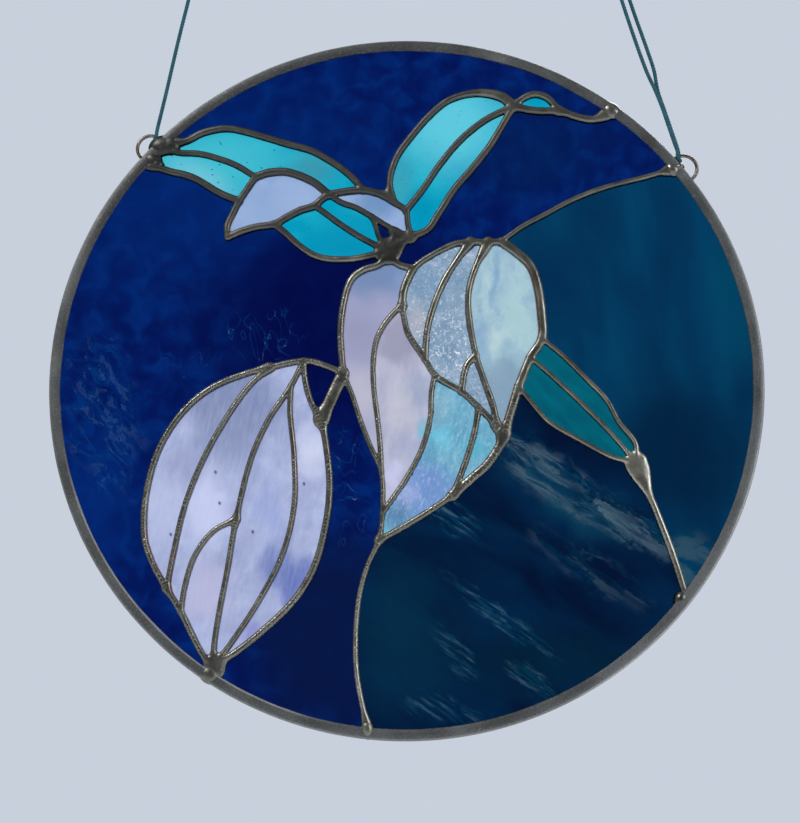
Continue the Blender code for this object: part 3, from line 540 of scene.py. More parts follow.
# Every piece of glass: the joints round it. Where two seams join the same two joints,
# the word after the slash says which one leads there.
PIECES = {
    "glass_ground_left": ["rim_leaf_low", "fork_b", "turned_tip", "turned_low", "hub",
                          "bud_meets_bloom", "bud_top", "bud_left_top", "bud_low_left/outer",
                          "bud_low_mid", "bud_foot", "rim_bud"],
    "glass_ground_top": ["rim_leaf_top", "leaf_end", "tall_foot", "tall_tip", "tendril_end/over",
                         "rim_tendril"],
    "glass_ground_upper_right": ["hub", "tall_neck", "tall_tip", "tendril_end/under", "rim_tendril",
                                 "rim_horizon", "horizon", "top_right", "top_mid", "top_left"],
    "glass_ground_right": ["horizon", "rim_horizon", "rim_right_stem", "right_leaf_tip",
                           "leaf_root_top"],
    "glass_ground_low_right": ["leaf_root_low", "right_leaf_tip", "rim_right_stem", "rim_bloom_stem",
                               "bloom_tip", "low_corner", "side"],
    "glass_ground_low": ["bud_meets_bloom", "left_meet", "front_tip", "bloom_tip", "rim_bloom_stem",
                         "rim_bud", "bud_foot", "bud_neck"],
    "glass_stem_gap": ["bud_meets_bloom", "bud_neck", "bud_top"],
    "glass_branch_gap": ["gap_top", "gap_side", "hub"],
    "glass_leaf_left_upper": ["rim_leaf_vein", "fork_a", "turned_end", "leaf_end", "rim_leaf_top"],
    "glass_leaf_left_lower": ["rim_leaf_low", "fork_b", "fork_a", "rim_leaf_vein"],
    "glass_leaf_turned": ["fork_a", "fork_b", "turned_tip", "turned_low", "turned_mid", "turned_end"],
    "glass_leaf_low_upper": ["turned_mid", "hub", "gap_top", "turned_end"],
    "glass_leaf_low_lower": ["turned_low", "hub", "turned_mid"],
    "glass_leaf_small": ["turned_end", "gap_top", "gap_side", "tall_neck", "tall_vein",
                         "tall_foot", "leaf_end"],
    "glass_leaf_tall_left": ["tall_foot", "tall_vein", "tall_tip"],
    "glass_leaf_tall_right": ["tall_vein", "tall_neck", "tall_tip"],
    "glass_tendril": ["tall_tip/over", "tendril_end/under"],
    "glass_petal_left": ["hub", "bud_meets_bloom", "left_meet", "cleft", "top_left"],
    "glass_petal_front": ["cleft", "left_meet", "front_tip", "front_foot", "fan"],
    "glass_petal_icy_left": ["top_left", "cleft", "fan", "top_mid"],
    "glass_petal_icy_right": ["top_mid", "fan", "front_foot", "tip_low", "tip_high", "top_right"],
    "glass_petal_icy_tip": ["tip_high", "tip_low", "low_fork", "side_low"],
    "glass_petal_white": ["top_right", "tip_high", "side_low", "side", "leaf_root_low",
                          "leaf_root_mid", "leaf_root_top", "horizon"],
    "glass_petal_low_left": ["front_foot", "front_tip", "bloom_tip", "low_corner", "low_fork",
                             "tip_low"],
    "glass_petal_low_right": ["low_fork", "low_corner", "side", "side_low"],
    "glass_bud_left": ["bud_left_top", "bud_low_left/outer"],
    "glass_bud_mid_left": ["bud_top", "bud_left_top", "bud_low_left", "bud_low_mid", "bud_inner",
                           "bud_split"],
    "glass_bud_inner": ["bud_inner", "bud_low_mid", "bud_foot"],
    "glass_bud_centre": ["bud_split", "bud_inner", "bud_foot"],
    "glass_bud_right": ["bud_top", "bud_split", "bud_foot", "bud_neck"],
    "glass_leaf_right_upper": ["leaf_root_top", "leaf_root_mid", "right_leaf_tip"],
    "glass_leaf_right_lower": ["leaf_root_mid", "leaf_root_low", "right_leaf_tip"],
}


def joint_place(name):
    """Where a joint is, on the drawing or at the rim."""
    if name in RIM_JOINTS:
        return polar(GLASS_R, RIM_JOINTS[name])
    return Vector(JOINTS[name])


def distances(points):
    """How far along a curve each of its points is."""
    travelled = [0.0]
    for before, after in zip(points, points[1:]):
        travelled.append(travelled[-1] + (after - before).length)
    return travelled


def flared(half_width, points, start, end):
    """Each point of a seam with its bead's half width, wider towards a puddle."""
    travelled = distances(points)
    result = []
    for point, distance in zip(points, travelled):
        width = half_width
        for joint, other, gone in ((start, end, distance), (end, start, travelled[-1] - distance)):
            extra, reach = FLARES.get((joint, other), FLARES.get(joint, (0.0, 1.0)))
            if joint in RIM_JOINTS:
                gone = max(0.0, gone - (GLASS_R - RIM_LIP_R))
            near = max(0.0, 1 - gone / reach)
            width += extra * near * near * (3 - 2 * near)
        result.append(Vector((point.x, point.y, width)))
    return result


def draw_seams():
    """Cut every stroke at its joints: (from, to, tag) gives the seam's points and widths."""
    seams = {}
    for half_width, items in STROKES:
        route = [joint_place(item.split("/")[0]) if isinstance(item, str) else Vector(item)
                 for item in items]
        start = items[0]
        points = []
        for leg, item, place in zip(smooth_curve(route, DRAW_STEP), items[1:], route[1:]):
            points += leg
            if isinstance(item, str):
                joint, _, tag = item.partition("/")
                if (points[-1] - place).length > 1e-6:
                    points.append(place)
                seams[start, joint, tag] = flared(half_width, points, start, joint)
                start = joint
                points = []
    return seams


def rim_arc(start, end):
    """The stretch of the disc's edge between two rim joints, the short way round."""
    first = RIM_JOINTS[start]
    sweep = (RIM_JOINTS[end] - first + 180) % 360 - 180
    count = max(1, round(abs(sweep)))
    return [polar(GLASS_R + 0.5, first + sweep * index / count) for index in range(count + 1)]


def outline(joints):
    """The points round a piece, along the middle of its seams."""
    points = []
    for index, item in enumerate(joints):
        start = item.split("/")[0]
        end, _, tag = joints[(index + 1) % len(joints)].partition("/")
        if (start, end, tag) in seams:
            run = [point.xy for point in seams[start, end, tag]]
        elif (end, start, tag) in seams:
            run = [point.xy for point in reversed(seams[end, start, tag])]
        else:
            run = rim_arc(start, end)
        points += run[:-1]
    return np.array(points)


def grid(lowest, highest, step):
    """Coordinates of a square grid that covers a box on the drawing."""
    xs = np.arange(lowest[0] - 2 * step, highest[0] + 2 * step, step)
    zs = np.arange(lowest[1] - 2 * step, highest[1] + 2 * step, step)
    return xs, zs


def seam_field(points, xs, zs, margin):
    """Each grid point's distance from a seam, that as a share of the half width there, and
    how far along the seam it lies, below zero on the seam's right."""
    far = np.full((len(zs), len(xs)), 99.0)
    share = np.full((len(zs), len(xs)), 9.0)
    along = np.zeros((len(zs), len(xs)))
    gone = 0.0
    for a, b in zip(points, points[1:]):
        reach = max(a.z, b.z) * margin + 1
        left, right = np.searchsorted(xs, (min(a.x, b.x) - reach, max(a.x, b.x) + reach))
        low, high = np.searchsorted(zs, (min(a.y, b.y) - reach, max(a.y, b.y) + reach))
        length = (b - a).xy.length
        gone += length
        if left >= right or low >= high:
            continue
        window = (slice(low, high), slice(left, right))
        px = xs[None, left:right] - a.x
        pz = zs[low:high, None] - a.y
        run = b - a
        t = np.clip((px * run.x + pz * run.y) / max(run.x ** 2 + run.y ** 2, 1e-9), 0, 1)
        gap = np.hypot(px - t * run.x, pz - t * run.y)
        spot = (gone - length + t * length + 0.01) * np.where(run.x * pz > run.y * px, 1, -1)
        along[window] = np.where(gap < far[window], spot, along[window])
        far[window] = np.minimum(far[window], gap)
        share[window] = np.minimum(share[window], gap / (a.z + t * run.z))
    return far, share, along


def inside(outline_points, xs, zs):
    """Whether each grid point lies inside an outline, by counting crossings to its left."""
    px, pz = np.meshgrid(xs, zs)
    odd = np.zeros(px.shape, bool)
    for (ax, az), (bx, bz) in zip(outline_points, np.roll(outline_points, -1, axis=0)):
        spans = (az > pz) != (bz > pz)
        if az != bz:
            odd ^= spans & (px < (bx - ax) * (pz - az) / (bz - az) + ax)
    return odd


def clipped_grid(field, xs, zs):
    """The grid's faces where the field is above zero, with a smooth border where it is zero."""
    solid = field > 0
    numbers, places, faces = {}, [], []

    def corner(here, there):
        if (here, there) not in numbers:
            share = 0.0
            if here != there:
                share = min(max(field[here] / (field[here] - field[there]), 0.1), 0.9)
            places.append((xs[here[1]] + (xs[there[1]] - xs[here[1]]) * share,
                           zs[here[0]] + (zs[there[0]] - zs[here[0]]) * share,
                           0.0 if here != there else field[here]))
            numbers[here, there] = len(places) - 1
        return numbers[here, there]

    touched = solid[:-1, :-1] | solid[1:, :-1] | solid[:-1, 1:] | solid[1:, 1:]
    for row, column in np.argwhere(touched).tolist():
        ring = ((row, column), (row, column + 1), (row + 1, column + 1), (row + 1, column))
        face = []
        for here, there in zip(ring, ring[1:] + ring[:1]):
            if solid[here]:
                face.append(corner(here, here))
            if solid[here] != solid[there]:
                face.append(corner(*sorted((here, there))))
        faces.append(tuple(face))
    return np.array(places), faces


def slab(name, places, faces, front, back):
    """A closed piece over a flat net of faces, between a front and a back depth at each point."""
    count = len(places)
    verts = [in_place((x, y, z)) for (x, z, _), y in zip(places, front)]
    verts += [in_place((x, y, z)) for (x, z, _), y in zip(places, back)]
    edges = {edge for face in faces for edge in zip(face, face[1:] + face[:1])}
    walls = [(b, a, a + count, b + count) for a, b in sorted(edges) if (b, a) not in edges]
    backs = [tuple(corner + count for corner in reversed(face)) for face in faces]
    mesh = bpy.data.meshes.new(name)
    mesh.from_pydata(verts, [], faces + backs + walls)
    return mesh


def ripples(places, size, depth, detail, seed):
    """How much a rolled sheet's face rises and falls at each place, in millimetres."""
    return np.array([depth * noise.fractal(Vector((x / size, seed, z / size)), 1.0, 2.0, detail)
                     for x, z, _ in places])


def cut_glass(node, material, step, size, depth, detail=1):
    """One piece of sheet glass: its outline from the drawing, and the sheet's own ripples."""
    around = outline(PIECES[node])
    xs, zs = grid(around.min(axis=0), around.max(axis=0), step)
    gap = np.full((len(zs), len(xs)), 99.0)
    for points in seams.values():
        gap = np.minimum(gap, seam_field(points, xs, zs, 1.0)[0])
    field = np.minimum(np.minimum(gap, 3.0) - FOIL_GAP, GLASS_R - np.hypot(*np.meshgrid(xs, zs)))
    field = np.where(inside(around, xs, zs), field, -0.1)
    places, faces = clipped_grid(field, xs, zs)
    half = GLASS_THICKNESS / 2
    seed = len(node) * 7.3
    front = -half - ripples(places, size, depth, detail, seed)
    back = half + ripples(places, size, depth * 0.5, detail, seed + 50)
    mesh = slab(node, places, faces, front, back)
    return new_piece(node.replace("glass", "sheet"), mesh, material, [node], sharp=40)


def glass_material(name, tone, roughness, waves, wave_depth):
    """Coloured glass that lets light through, with a rolled sheet's fine waves."""
    material, tree, shader, place = new_material(name, roughness)
    shader.inputs["Transmission Weight"].default_value = 1.0
    shader.inputs["IOR"].default_value = 1.5
    tree.links.new(tone(tree, place), shader.inputs["Base Color"])
    bump(tree, shader, clouds(tree, place, waves, detail=2.0), wave_depth)
    return material


def tinted(tree, place, below, centre, radii, colour, share=1.0, turn=0.0, core=0.1):
    """A soft patch of another colour in the sheet."""
    spot = patch(tree, place, centre, radii, turn, core)
    return layer(tree, times(tree, spot, share), below, colour)


def tints(tree, place, tone, patches):
    """Soft patches of other colours: centre, radii, colour and share, then turn and core."""
    for facts in patches:
        tone = tinted(tree, place, tone, *facts)
    return tone


def straying(tree, place, size, reach):
    """The drawing's coordinates pushed about by soft noise, so that patches get wispy edges."""
    node = tree.nodes.new("ShaderNodeTexNoise")
    node.inputs["Scale"].default_value = 1.0
    node.inputs["Detail"].default_value = 4.0
    tree.links.new(mapped(tree, place, size=(size, size)), node.inputs["Vector"])
    centred = tree.nodes.new("ShaderNodeVectorMath")
    centred.operation = "SUBTRACT"
    centred.inputs[1].default_value = (0.5, 0.5, 0.5)
    tree.links.new(node.outputs["Color"], centred.inputs[0])
    moved = tree.nodes.new("ShaderNodeVectorMath")
    moved.operation = "MULTIPLY_ADD"
    moved.inputs[1].default_value = (reach, reach, reach)
    tree.links.new(centred.outputs[0], moved.inputs[0])
    tree.links.new(place, moved.inputs[2])
    return moved.outputs[0]


def contour(tree, height, level, width):
    """A thin outline where a noise passes a level."""
    rising = spread(tree, height, level - width, level)
    return times(tree, rising, spread(tree, height, level, level + width, 1.0, 0.0))


seams = draw_seams()


# Ground, upper and left: cobalt blue cathedral glass, softly mottled, darkest round the
# flower. Beside the bud, pale curling ripples and a soft sheen are painted highlights where
# its rolled surface catches the light.
def cobalt(tree, place):
    tone = ramp(tree, clouds(tree, place, 9, detail=3.0, warp=0.6),
                [(0.36, (0.0, 0.0065, 0.092)), (0.5, (0.0, 0.0118, 0.12)), (0.62, (0.0, 0.023, 0.172))])
    loose = straying(tree, place, 16, 30)
    tone = tints(tree, loose, tone, [
        ((-85, 85), (120, 80), (0.0, 0.024, 0.175), 0.6),
        ((-26, 22), (82, 68), (0.0, 0.0022, 0.06), 0.92, 0, 0.35),
        ((-30, -108), (50, 62), (0.0015, 0.0085, 0.056), 0.9, 0, 0.35),
        ((54, 100), (58, 36), (0.0, 0.017, 0.1), 0.6),
        ((-128, -52), (26, 44), (0.0, 0.024, 0.185), 0.8),
    ])
    gleam = straying(tree, place, 12, 26)
    water = clouds(tree, place, (13, 6.5), detail=4.0, rough=0.6, warp=1.3, turn=-50)
    swept = patch(tree, gleam, (-126, -14), (19, 44), turn=10, core=0.45)
    # Painted highlight: a pale sheen laid into the colour left of the bud.
    sheen = times(tree, spread(tree, water, 0.5, 0.56), swept)
    tone = layer(tree, times(tree, sheen, 0.32), tone, (0.03, 0.09, 0.26))
    # Painted highlight: thin pale lines along the ripples.
    lines = times(tree, contour(tree, water, 0.53, 0.022), swept)
    tone = layer(tree, times(tree, lines, 0.34), tone, (0.07, 0.17, 0.36))
    curls = clouds(tree, straying(tree, place, 3, 1.4), (4.6, 8), detail=0.0, turn=12)
    # Painted highlights: small pale curls near the bud, where the surface catches the light.
    thin = contour(tree, curls, 0.6, 0.02)
    for centre, radii, strength in (((-62, 18), (22, 12), 0.8), ((-25, -40), (9, 24), 0.6),
                                    ((-21, -62), (9, 12), 0.4), ((-92, 6), (14, 8), 0.35)):
        near = patch(tree, gleam, centre, radii, core=0.6)
        tone = layer(tree, times(tree, times(tree, thin, near), strength), tone, (0.16, 0.2, 0.4))
    return tone


cobalt_glass = glass_material("cobalt_sheet", cobalt, 0.02, 9.0, 0.25)
for node in ("glass_ground_left", "glass_ground_top", "glass_ground_upper_right",
             "glass_ground_low", "glass_stem_gap", "glass_branch_gap"):
    cut_glass(node, cobalt_glass, 1.25, 14.0, 0.07)


# Ground, right: one large piece of clear blue-green glass, darker below, with broad soft
# bands that run nearly upright.
def blue_green(tree, place):
    tone = ramp(tree, clouds(tree, place, (16, 55), detail=2.0, warp=0.4, turn=8),
                [(0.3, (0.0, 0.033, 0.094)), (0.72, (0.0, 0.06, 0.14))])
    loose = straying(tree, place, 24, 40)
    tone = tints(tree, loose, tone, [
        ((112, -35), (58, 62), (0.0, 0.016, 0.052), 0.9),
        ((62, 42), (26, 36), (0.0, 0.026, 0.085), 0.7),
        ((140, 35), (22, 50), (0.0, 0.075, 0.135), 0.5),
    ])
    blobs = clouds(tree, place, (16, 6), detail=8.0, rough=0.68, warp=0.5, turn=-33)
    streaked = patch(tree, straying(tree, place, 9, 10), (116, -79), (15, 17), core=0.5)
    streaks = times(tree, spread(tree, blobs, 0.45, 0.53), streaked)
    tone = layer(tree, times(tree, streaks, 0.55), tone, (0.05, 0.12, 0.15))
    specks = spread(tree, clouds(tree, place, 0.8, detail=1.0), 0.79, 0.86)
    return layer(tree, times(tree, specks, 0.4), tone, (0.02, 0.2, 0.3))


blue_green_glass = glass_material("blue_green_sheet", blue_green, 0.02, 12.0, 0.2)
cut_glass("glass_ground_right", blue_green_glass, 1.25, 18.0, 0.06)


# Ground, lower right: streaky navy glass. Pale grey-blue streaks with combed edges were
# pulled slantwise through it when the sheet was rolled.
def streaky_navy(tree, place):
    tone = ramp(tree, clouds(tree, place, (46, 18), detail=3.0, warp=0.6, turn=-32),
                [(0.34, (0.0, 0.0065, 0.032)), (0.68, (0.0, 0.022, 0.071))])
    loose = straying(tree, place, 20, 30)
    tone = tints(tree, loose, tone, [
        ((0, -108), (34, 44), (0.001, 0.034, 0.074), 0.75),
        ((62, -118), (64, 22), (0.0, 0.019, 0.044), 0.7),
        ((66, -52), (46, 13), (0.003, 0.055, 0.105), 0.7, -36),
        ((68, -24), (40, 19), (0.0, 0.0055, 0.03), 0.95, -30),
    ])
    combed = clouds(tree, place, (15, 1.7), detail=6.0, rough=0.62, warp=0.2, turn=-35)
    blobs = clouds(tree, place, (20, 6.5), detail=8.0, rough=0.68, warp=0.5, turn=-33)
    frayed = times(tree, spread(tree, blobs, 0.475, 0.525), spread(tree, combed, 0.4, 0.56, 0.3, 1.0))
    fine = spread(tree, combed, 0.5, 0.56)
    frayed_place = straying(tree, place, 9, 12)
    for centre, radii, turn, strength in (((60, -42), (40, 12), -37, 0.7),
                                          ((95, -63), (27, 11), -27, 0.68),
                                          ((76, -80), (34, 9), -34, 0.3)):
        band = times(tree, frayed, patch(tree, frayed_place, centre, radii, turn, core=0.55))
        tone = layer(tree, times(tree, band, strength), tone, (0.082, 0.148, 0.19))
    for centre, radii, turn, strength in (((20, -60), (15, 8), -40, 0.6),
                                          ((40, -101), (34, 5), -37, 0.5),
                                          ((21, -115), (16, 7), -50, 0.45),
                                          ((51, -126), (16, 6), -36, 0.45),
                                          ((16, -138), (22, 6), -12, 0.35)):
        band = times(tree, fine, patch(tree, frayed_place, centre, radii, turn, core=0.45))
        tone = layer(tree, times(tree, band, strength), tone, (0.07, 0.16, 0.22))
    return tone


navy_glass = glass_material("streaky_navy_sheet", streaky_navy, 0.02, (14.0, 4.0), 0.25)
cut_glass("glass_ground_low_right", navy_glass, 1.25, 14.0, 0.07)


# Left and upper leaves and the tendril: bright turquoise glass with tiny dark bubbles,
# paler along the upper leaves.
def turquoise(tree, place):
    tone = ramp(tree, clouds(tree, place, (16, 10), detail=2.0),
                [(0.35, (0.0, 0.37, 0.55)), (0.68, (0.012, 0.5, 0.63))])
    tone = tints(tree, place, tone, [
        ((-80, 95), (50, 26), (0.075, 0.62, 0.7), 0.85),
        ((-88, 87), (26, 11), (0.2, 0.66, 0.76), 0.85, -30),
        ((-40, 92), (16, 13), (0.06, 0.33, 0.4), 0.7),
        ((20, 112), (38, 34), (0.15, 0.72, 0.82), 0.88),
        ((-2, 86), (9, 20), (0.06, 0.42, 0.52), 0.75),
        ((-24, 60), (28, 18), (0.0, 0.32, 0.5), 0.8),
        ((8, 72), (10, 16), (0.0, 0.34, 0.52), 0.8),
    ])
    bubbles = tree.nodes.new("ShaderNodeTexVoronoi")
    bubbles.inputs["Scale"].default_value = 1.0
    tree.links.new(mapped(tree, place, size=(5.5, 4)), bubbles.inputs["Vector"])
    spots = spread(tree, bubbles.outputs["Distance"], 0.07, 0.12, 1.0, 0.0)
    seeded = spread(tree, patch(tree, place, (-68, 92), (66, 34), core=0.6), 0.0, 1.0, 0.3, 0.85)
    return layer(tree, times(tree, spots, seeded), tone, (0.0, 0.06, 0.14))


turquoise_glass = glass_material("turquoise_sheet", turquoise, 0.03, 6.0, 0.2)
for node in ("glass_leaf_left_upper", "glass_leaf_left_lower", "glass_leaf_low_upper",
             "glass_leaf_low_lower", "glass_leaf_tall_left", "glass_leaf_tall_right",
             "glass_tendril"):
    cut_glass(node, turquoise_glass, 0.8, 8.0, 0.07)


# Right leaf: two strips of deeper teal glass.
def teal(tree, place):
    return ramp(tree, clouds(tree, place, (14, 5), detail=3.0, turn=-45),
                [(0.32, (0.0, 0.1, 0.15)), (0.7, (0.0, 0.165, 0.215))])


teal_glass = glass_material("teal_sheet", teal, 0.03, 5.0, 0.2)
for node in ("glass_leaf_right_upper", "glass_leaf_right_lower"):
    cut_glass(node, teal_glass, 0.8, 8.0, 0.07)


# Turned leaf, small leaf and left petal: cloudy lilac glass, soft as mist, bluer at the
# top and warmer down the petal.
def lilac(tree, place):
    tone = ramp(tree, clouds(tree, place, 13, detail=3.0, warp=0.5),
                [(0.3, (0.31, 0.46, 0.7)), (0.7, (0.4, 0.54, 0.8))])
    loose = straying(tree, place, 9, 12)
    return tints(tree, loose, tone, [
        ((-12, 76), (16, 12), (0.17, 0.32, 0.55), 0.9),
        ((-16, 8), (22, 50), (0.42, 0.43, 0.6), 0.95, 0, 0.7),
        ((-14, 48), (26, 20), (0.19, 0.29, 0.49), 0.9, 0, 0.3),
        ((-20, 20), (16, 16), (0.36, 0.36, 0.52), 0.8),
        ((-18, -8), (18, 20), (0.62, 0.6, 0.67), 0.85),
        ((-12, -30), (8, 14), (0.55, 0.57, 0.66), 0.8),
    ])


lilac_glass = glass_material("lilac_sheet", lilac, 0.3, 7.0, 0.2)
for node in ("glass_leaf_turned", "glass_leaf_small", "glass_petal_left"):
    cut_glass(node, lilac_glass, 0.8, 9.0, 0.07)


# Front petal: wispy glass, greyish lilac above, milky in the middle and blue at the
# foot, with a gleam of cyan along its right edge.
def wispy(tree, place):
    tone = ramp(tree, clouds(tree, place, (5, 12), detail=5.0, rough=0.62, warp=0.8, turn=-8),
                [(0.3, (0.44, 0.45, 0.58)), (0.52, (0.56, 0.57, 0.68)), (0.72, (0.72, 0.74, 0.82))])
    loose = straying(tree, place, 8, 16)
    return tints(tree, loose, tone, [
        ((-3, 16), (15, 16), (0.36, 0.35, 0.47), 0.8, 0, 0.3),
        ((-2, -12), (10, 15), (0.66, 0.64, 0.7), 0.7),
        ((6, -6), (7, 13), (0.34, 0.42, 0.58), 0.7),
        ((8, -22), (6, 6), (0.2, 0.6, 0.74), 0.85, 12),
        ((2, -29), (10, 8), (0.42, 0.48, 0.7), 0.5),
        ((-5, -42), (6, 12), (0.72, 0.72, 0.95), 0.8),
    ])


wispy_glass = glass_material("wispy_sheet", wispy, 0.3, 6.0, 0.25)
cut_glass("glass_petal_front", wispy_glass, 0.8, 8.0, 0.08)


# Inner petals: icy clear glass, its face crushed like frost; the light it catches is painted as short
# bright and dark shards and white glints.
def icy(tree, place):
    mist = clouds(tree, place, (7, 9), detail=3.0, rough=0.6, warp=0.8)
    tone = ramp(tree, mist, [(0.34, (0.21, 0.34, 0.47)), (0.52, (0.28, 0.41, 0.53)),
                             (0.7, (0.4, 0.52, 0.63))])
    tone = tints(tree, place, tone, [
        ((12, 42), (14, 16), (0.21, 0.38, 0.55), 0.5),
        ((5, 24), (7, 13), (0.54, 0.52, 0.55), 0.75),
    ])
    warped = straying(tree, place, 3.2, 4.5)
    # Painted light and shade: the crushed face's sparkle, as bright and dark shards in the colour.
    for turn, size, shift in ((25, (6.4, 1.8), (0, 0)), (-50, (7.0, 2.0), (40, 9))):
        shard_sparkle = clouds(tree, warped, size, detail=1.0, turn=turn, shift=shift)
        tone = layer(tree, times(tree, spread(tree, shard_sparkle, 0.6, 0.7), 0.34), tone, (0.56, 0.7, 0.8))
        tone = layer(tree, times(tree, spread(tree, shard_sparkle, 0.38, 0.3), 0.3), tone, (0.15, 0.25, 0.37))
    crushed = patch(tree, straying(tree, place, 6, 10), (17, 14), (19, 22), core=0.35)
    share = spread(tree, crushed, 0.0, 1.0, 0.45, 1.0)
    # Painted highlights: white glints, densest where the face is most crushed.
    for turn, shift in ((15, (11, 3)), (-60, (-17, 40)), (75, (60, -8))):
        glints = clouds(tree, warped, (2.6, 1.0), detail=0.0, turn=turn, shift=shift)
        tone = layer(tree, times(tree, spread(tree, glints, 0.72, 0.75), share), tone, (1.0, 1.0, 1.0))
    return tone


icy_glass = glass_material("icy_sheet", icy, 0.1, 3.0, 0.35)
for node in ("glass_petal_icy_left", "glass_petal_icy_right", "glass_petal_icy_tip"):
    cut_glass(node, icy_glass, 0.5, 4.2, 0.26, detail=2)


# Right petal: white opal glass, greenish milk above, with slow blue wisps down its left
# side and a bluer foot.
def white_opal(tree, place):
    loose = straying(tree, place, 9, 18)
    veins = clouds(tree, loose, (4.5, 22), detail=3.0, turn=6)
    tone = ramp(tree, veins, [(0.36, (0.3, 0.48, 0.62)), (0.5, (0.4, 0.6, 0.66)),
                              (0.66, (0.5, 0.7, 0.72))])
    tone = tinted(tree, loose, tone, (48, 26), (11, 26), (0.48, 0.72, 0.7), 0.7)
    wisp = straying(tree, place, 10, 9)
    tone = tints(tree, wisp, tone, [
        ((38, 42), (2.4, 19), (0.22, 0.4, 0.6), 0.8, -6),
        ((33, 18), (4.5, 14), (0.27, 0.44, 0.62), 0.7),
    ])
    tone = tints(tree, loose, tone, [
        ((40, 17), (9, 6), (0.62, 0.78, 0.76), 0.7),
        ((42, -6), (16, 18), (0.26, 0.4, 0.51), 0.9, 0, 0.5),
    ])
    frost = spread(tree, clouds(tree, place, (1.3, 2.0), detail=3.0), 0.58, 0.7)
    foot = patch(tree, place, (37, -6), (8, 14), core=0.3)
    return layer(tree, times(tree, times(tree, frost, foot), 0.5), tone, (0.7, 0.8, 0.86))


opal_glass = glass_material("white_opal_sheet", white_opal, 0.35, 6.0, 0.2)
cut_glass("glass_petal_white", opal_glass, 0.8, 9.0, 0.07)


# Lower petals: pale cyan glass with a fine crinkle, deep blue-lilac and misty at the foot.
def pale_cyan(tree, place):
    loose = straying(tree, place, 8, 14)
    tone = ramp(tree, clouds(tree, place, (3.5, 12), detail=5.0, rough=0.64, warp=0.7, turn=-14),
                [(0.32, (0.11, 0.36, 0.52)), (0.54, (0.19, 0.49, 0.63)), (0.72, (0.34, 0.64, 0.76))])
    tone = tints(tree, loose, tone, [
        ((14, -12), (6, 12), (0.28, 0.5, 0.62), 0.7),
        ((15, -26), (9, 7), (0.19, 0.67, 0.83), 0.85, -30),
        ((29, -30), (7, 8), (0.1, 0.52, 0.64), 0.7),
        ((6, -47), (19, 16), (0.2, 0.34, 0.66), 0.95, 0, 0.4),
        ((0, -50), (8, 12), (0.42, 0.5, 0.8), 0.8),
        ((-3, -58), (10, 9), (0.11, 0.23, 0.42), 0.85),
    ])
    crinkle = spread(tree, clouds(tree, place, (1.2, 2.4), detail=3.0, turn=-20), 0.52, 0.68)
    return layer(tree, times(tree, crinkle, 0.38), tone, (0.62, 0.84, 0.92))


cyan_glass = glass_material("pale_cyan_sheet", pale_cyan, 0.12, 1.8, 0.4)
for node in ("glass_petal_low_left", "glass_petal_low_right"):
    cut_glass(node, cyan_glass, 0.6, 3.0, 0.2, detail=2)


# Bud: five pieces of one cloudy glass, violet white with grey-blue shadows at the upper
# left and a stronger blue towards the low right, and a few dark seeds in it.
def bud_violet(tree, place):
    loose = straying(tree, place, 14, 26)
    tone = ramp(tree, clouds(tree, loose, (12, 20), detail=5.0, rough=0.6, warp=0.4, turn=-15),
                [(0.34, (0.36, 0.41, 0.64)), (0.5, (0.44, 0.5, 0.74)), (0.64, (0.55, 0.61, 0.86))])
    tone = tints(tree, loose, tone, [
        ((-78, -4), (42, 24), (0.22, 0.28, 0.48), 0.9, -30, 0.4),
        ((-76, -22), (24, 28), (0.27, 0.32, 0.52), 0.85),
        ((-100, -58), (13, 24), (0.56, 0.62, 0.86), 0.8),
        ((-82, -56), (14, 24), (0.72, 0.77, 1.0), 0.8),
        ((-57, -54), (10, 22), (0.37, 0.45, 0.76), 0.85),
        ((-40, -30), (9, 18), (0.78, 0.82, 1.0), 0.8),
        ((-81, -90), (14, 20), (0.57, 0.56, 0.77), 0.9),
        ((-45, -88), (15, 26), (0.13, 0.19, 0.52), 0.9, 35, 0.3),
        ((-64, -110), (12, 10), (0.3, 0.3, 0.66), 0.8),
    ])
    brushed = clouds(tree, place, (1.4, 9), detail=4.0, rough=0.65, turn=-12)
    tone = layer(tree, spread(tree, brushed, 0.4, 0.65, 0.0, 0.14), tone, (0.95, 0.97, 1.0))
    for centre in ((-79, -40), (-77, -53), (-63, -65), (-42, -45), (-97, -66)):
        tone = tinted(tree, place, tone, centre, (0.7, 0.9), (0.05, 0.05, 0.1), 0.85, core=0.6)
    return tone


bud_glass = glass_material("pale_violet_sheet", bud_violet, 0.3, 7.0, 0.2)
for node in ("glass_bud_left", "glass_bud_mid_left", "glass_bud_inner", "glass_bud_centre",
             "glass_bud_right"):
    cut_glass(node, bud_glass, 0.8, 9.0, 0.07)


# Solder: tin and lead run over the copper foil on both faces, with a thin web between
# the glass edges. It stands up in rounded, slightly lumpy beads that pool at the joints,
# wrinkled across here and there, and in places the foil's edge shows beside a bead.
BEAD_HEIGHT = 1.05
BEAD_STEP = 0.55
BEAD_SINK = 0.15
BEAD_OVER_LIP = 0.4
WEB_FIT = 0.02
WEB_INSET = 0.2
POOLING = 0.15

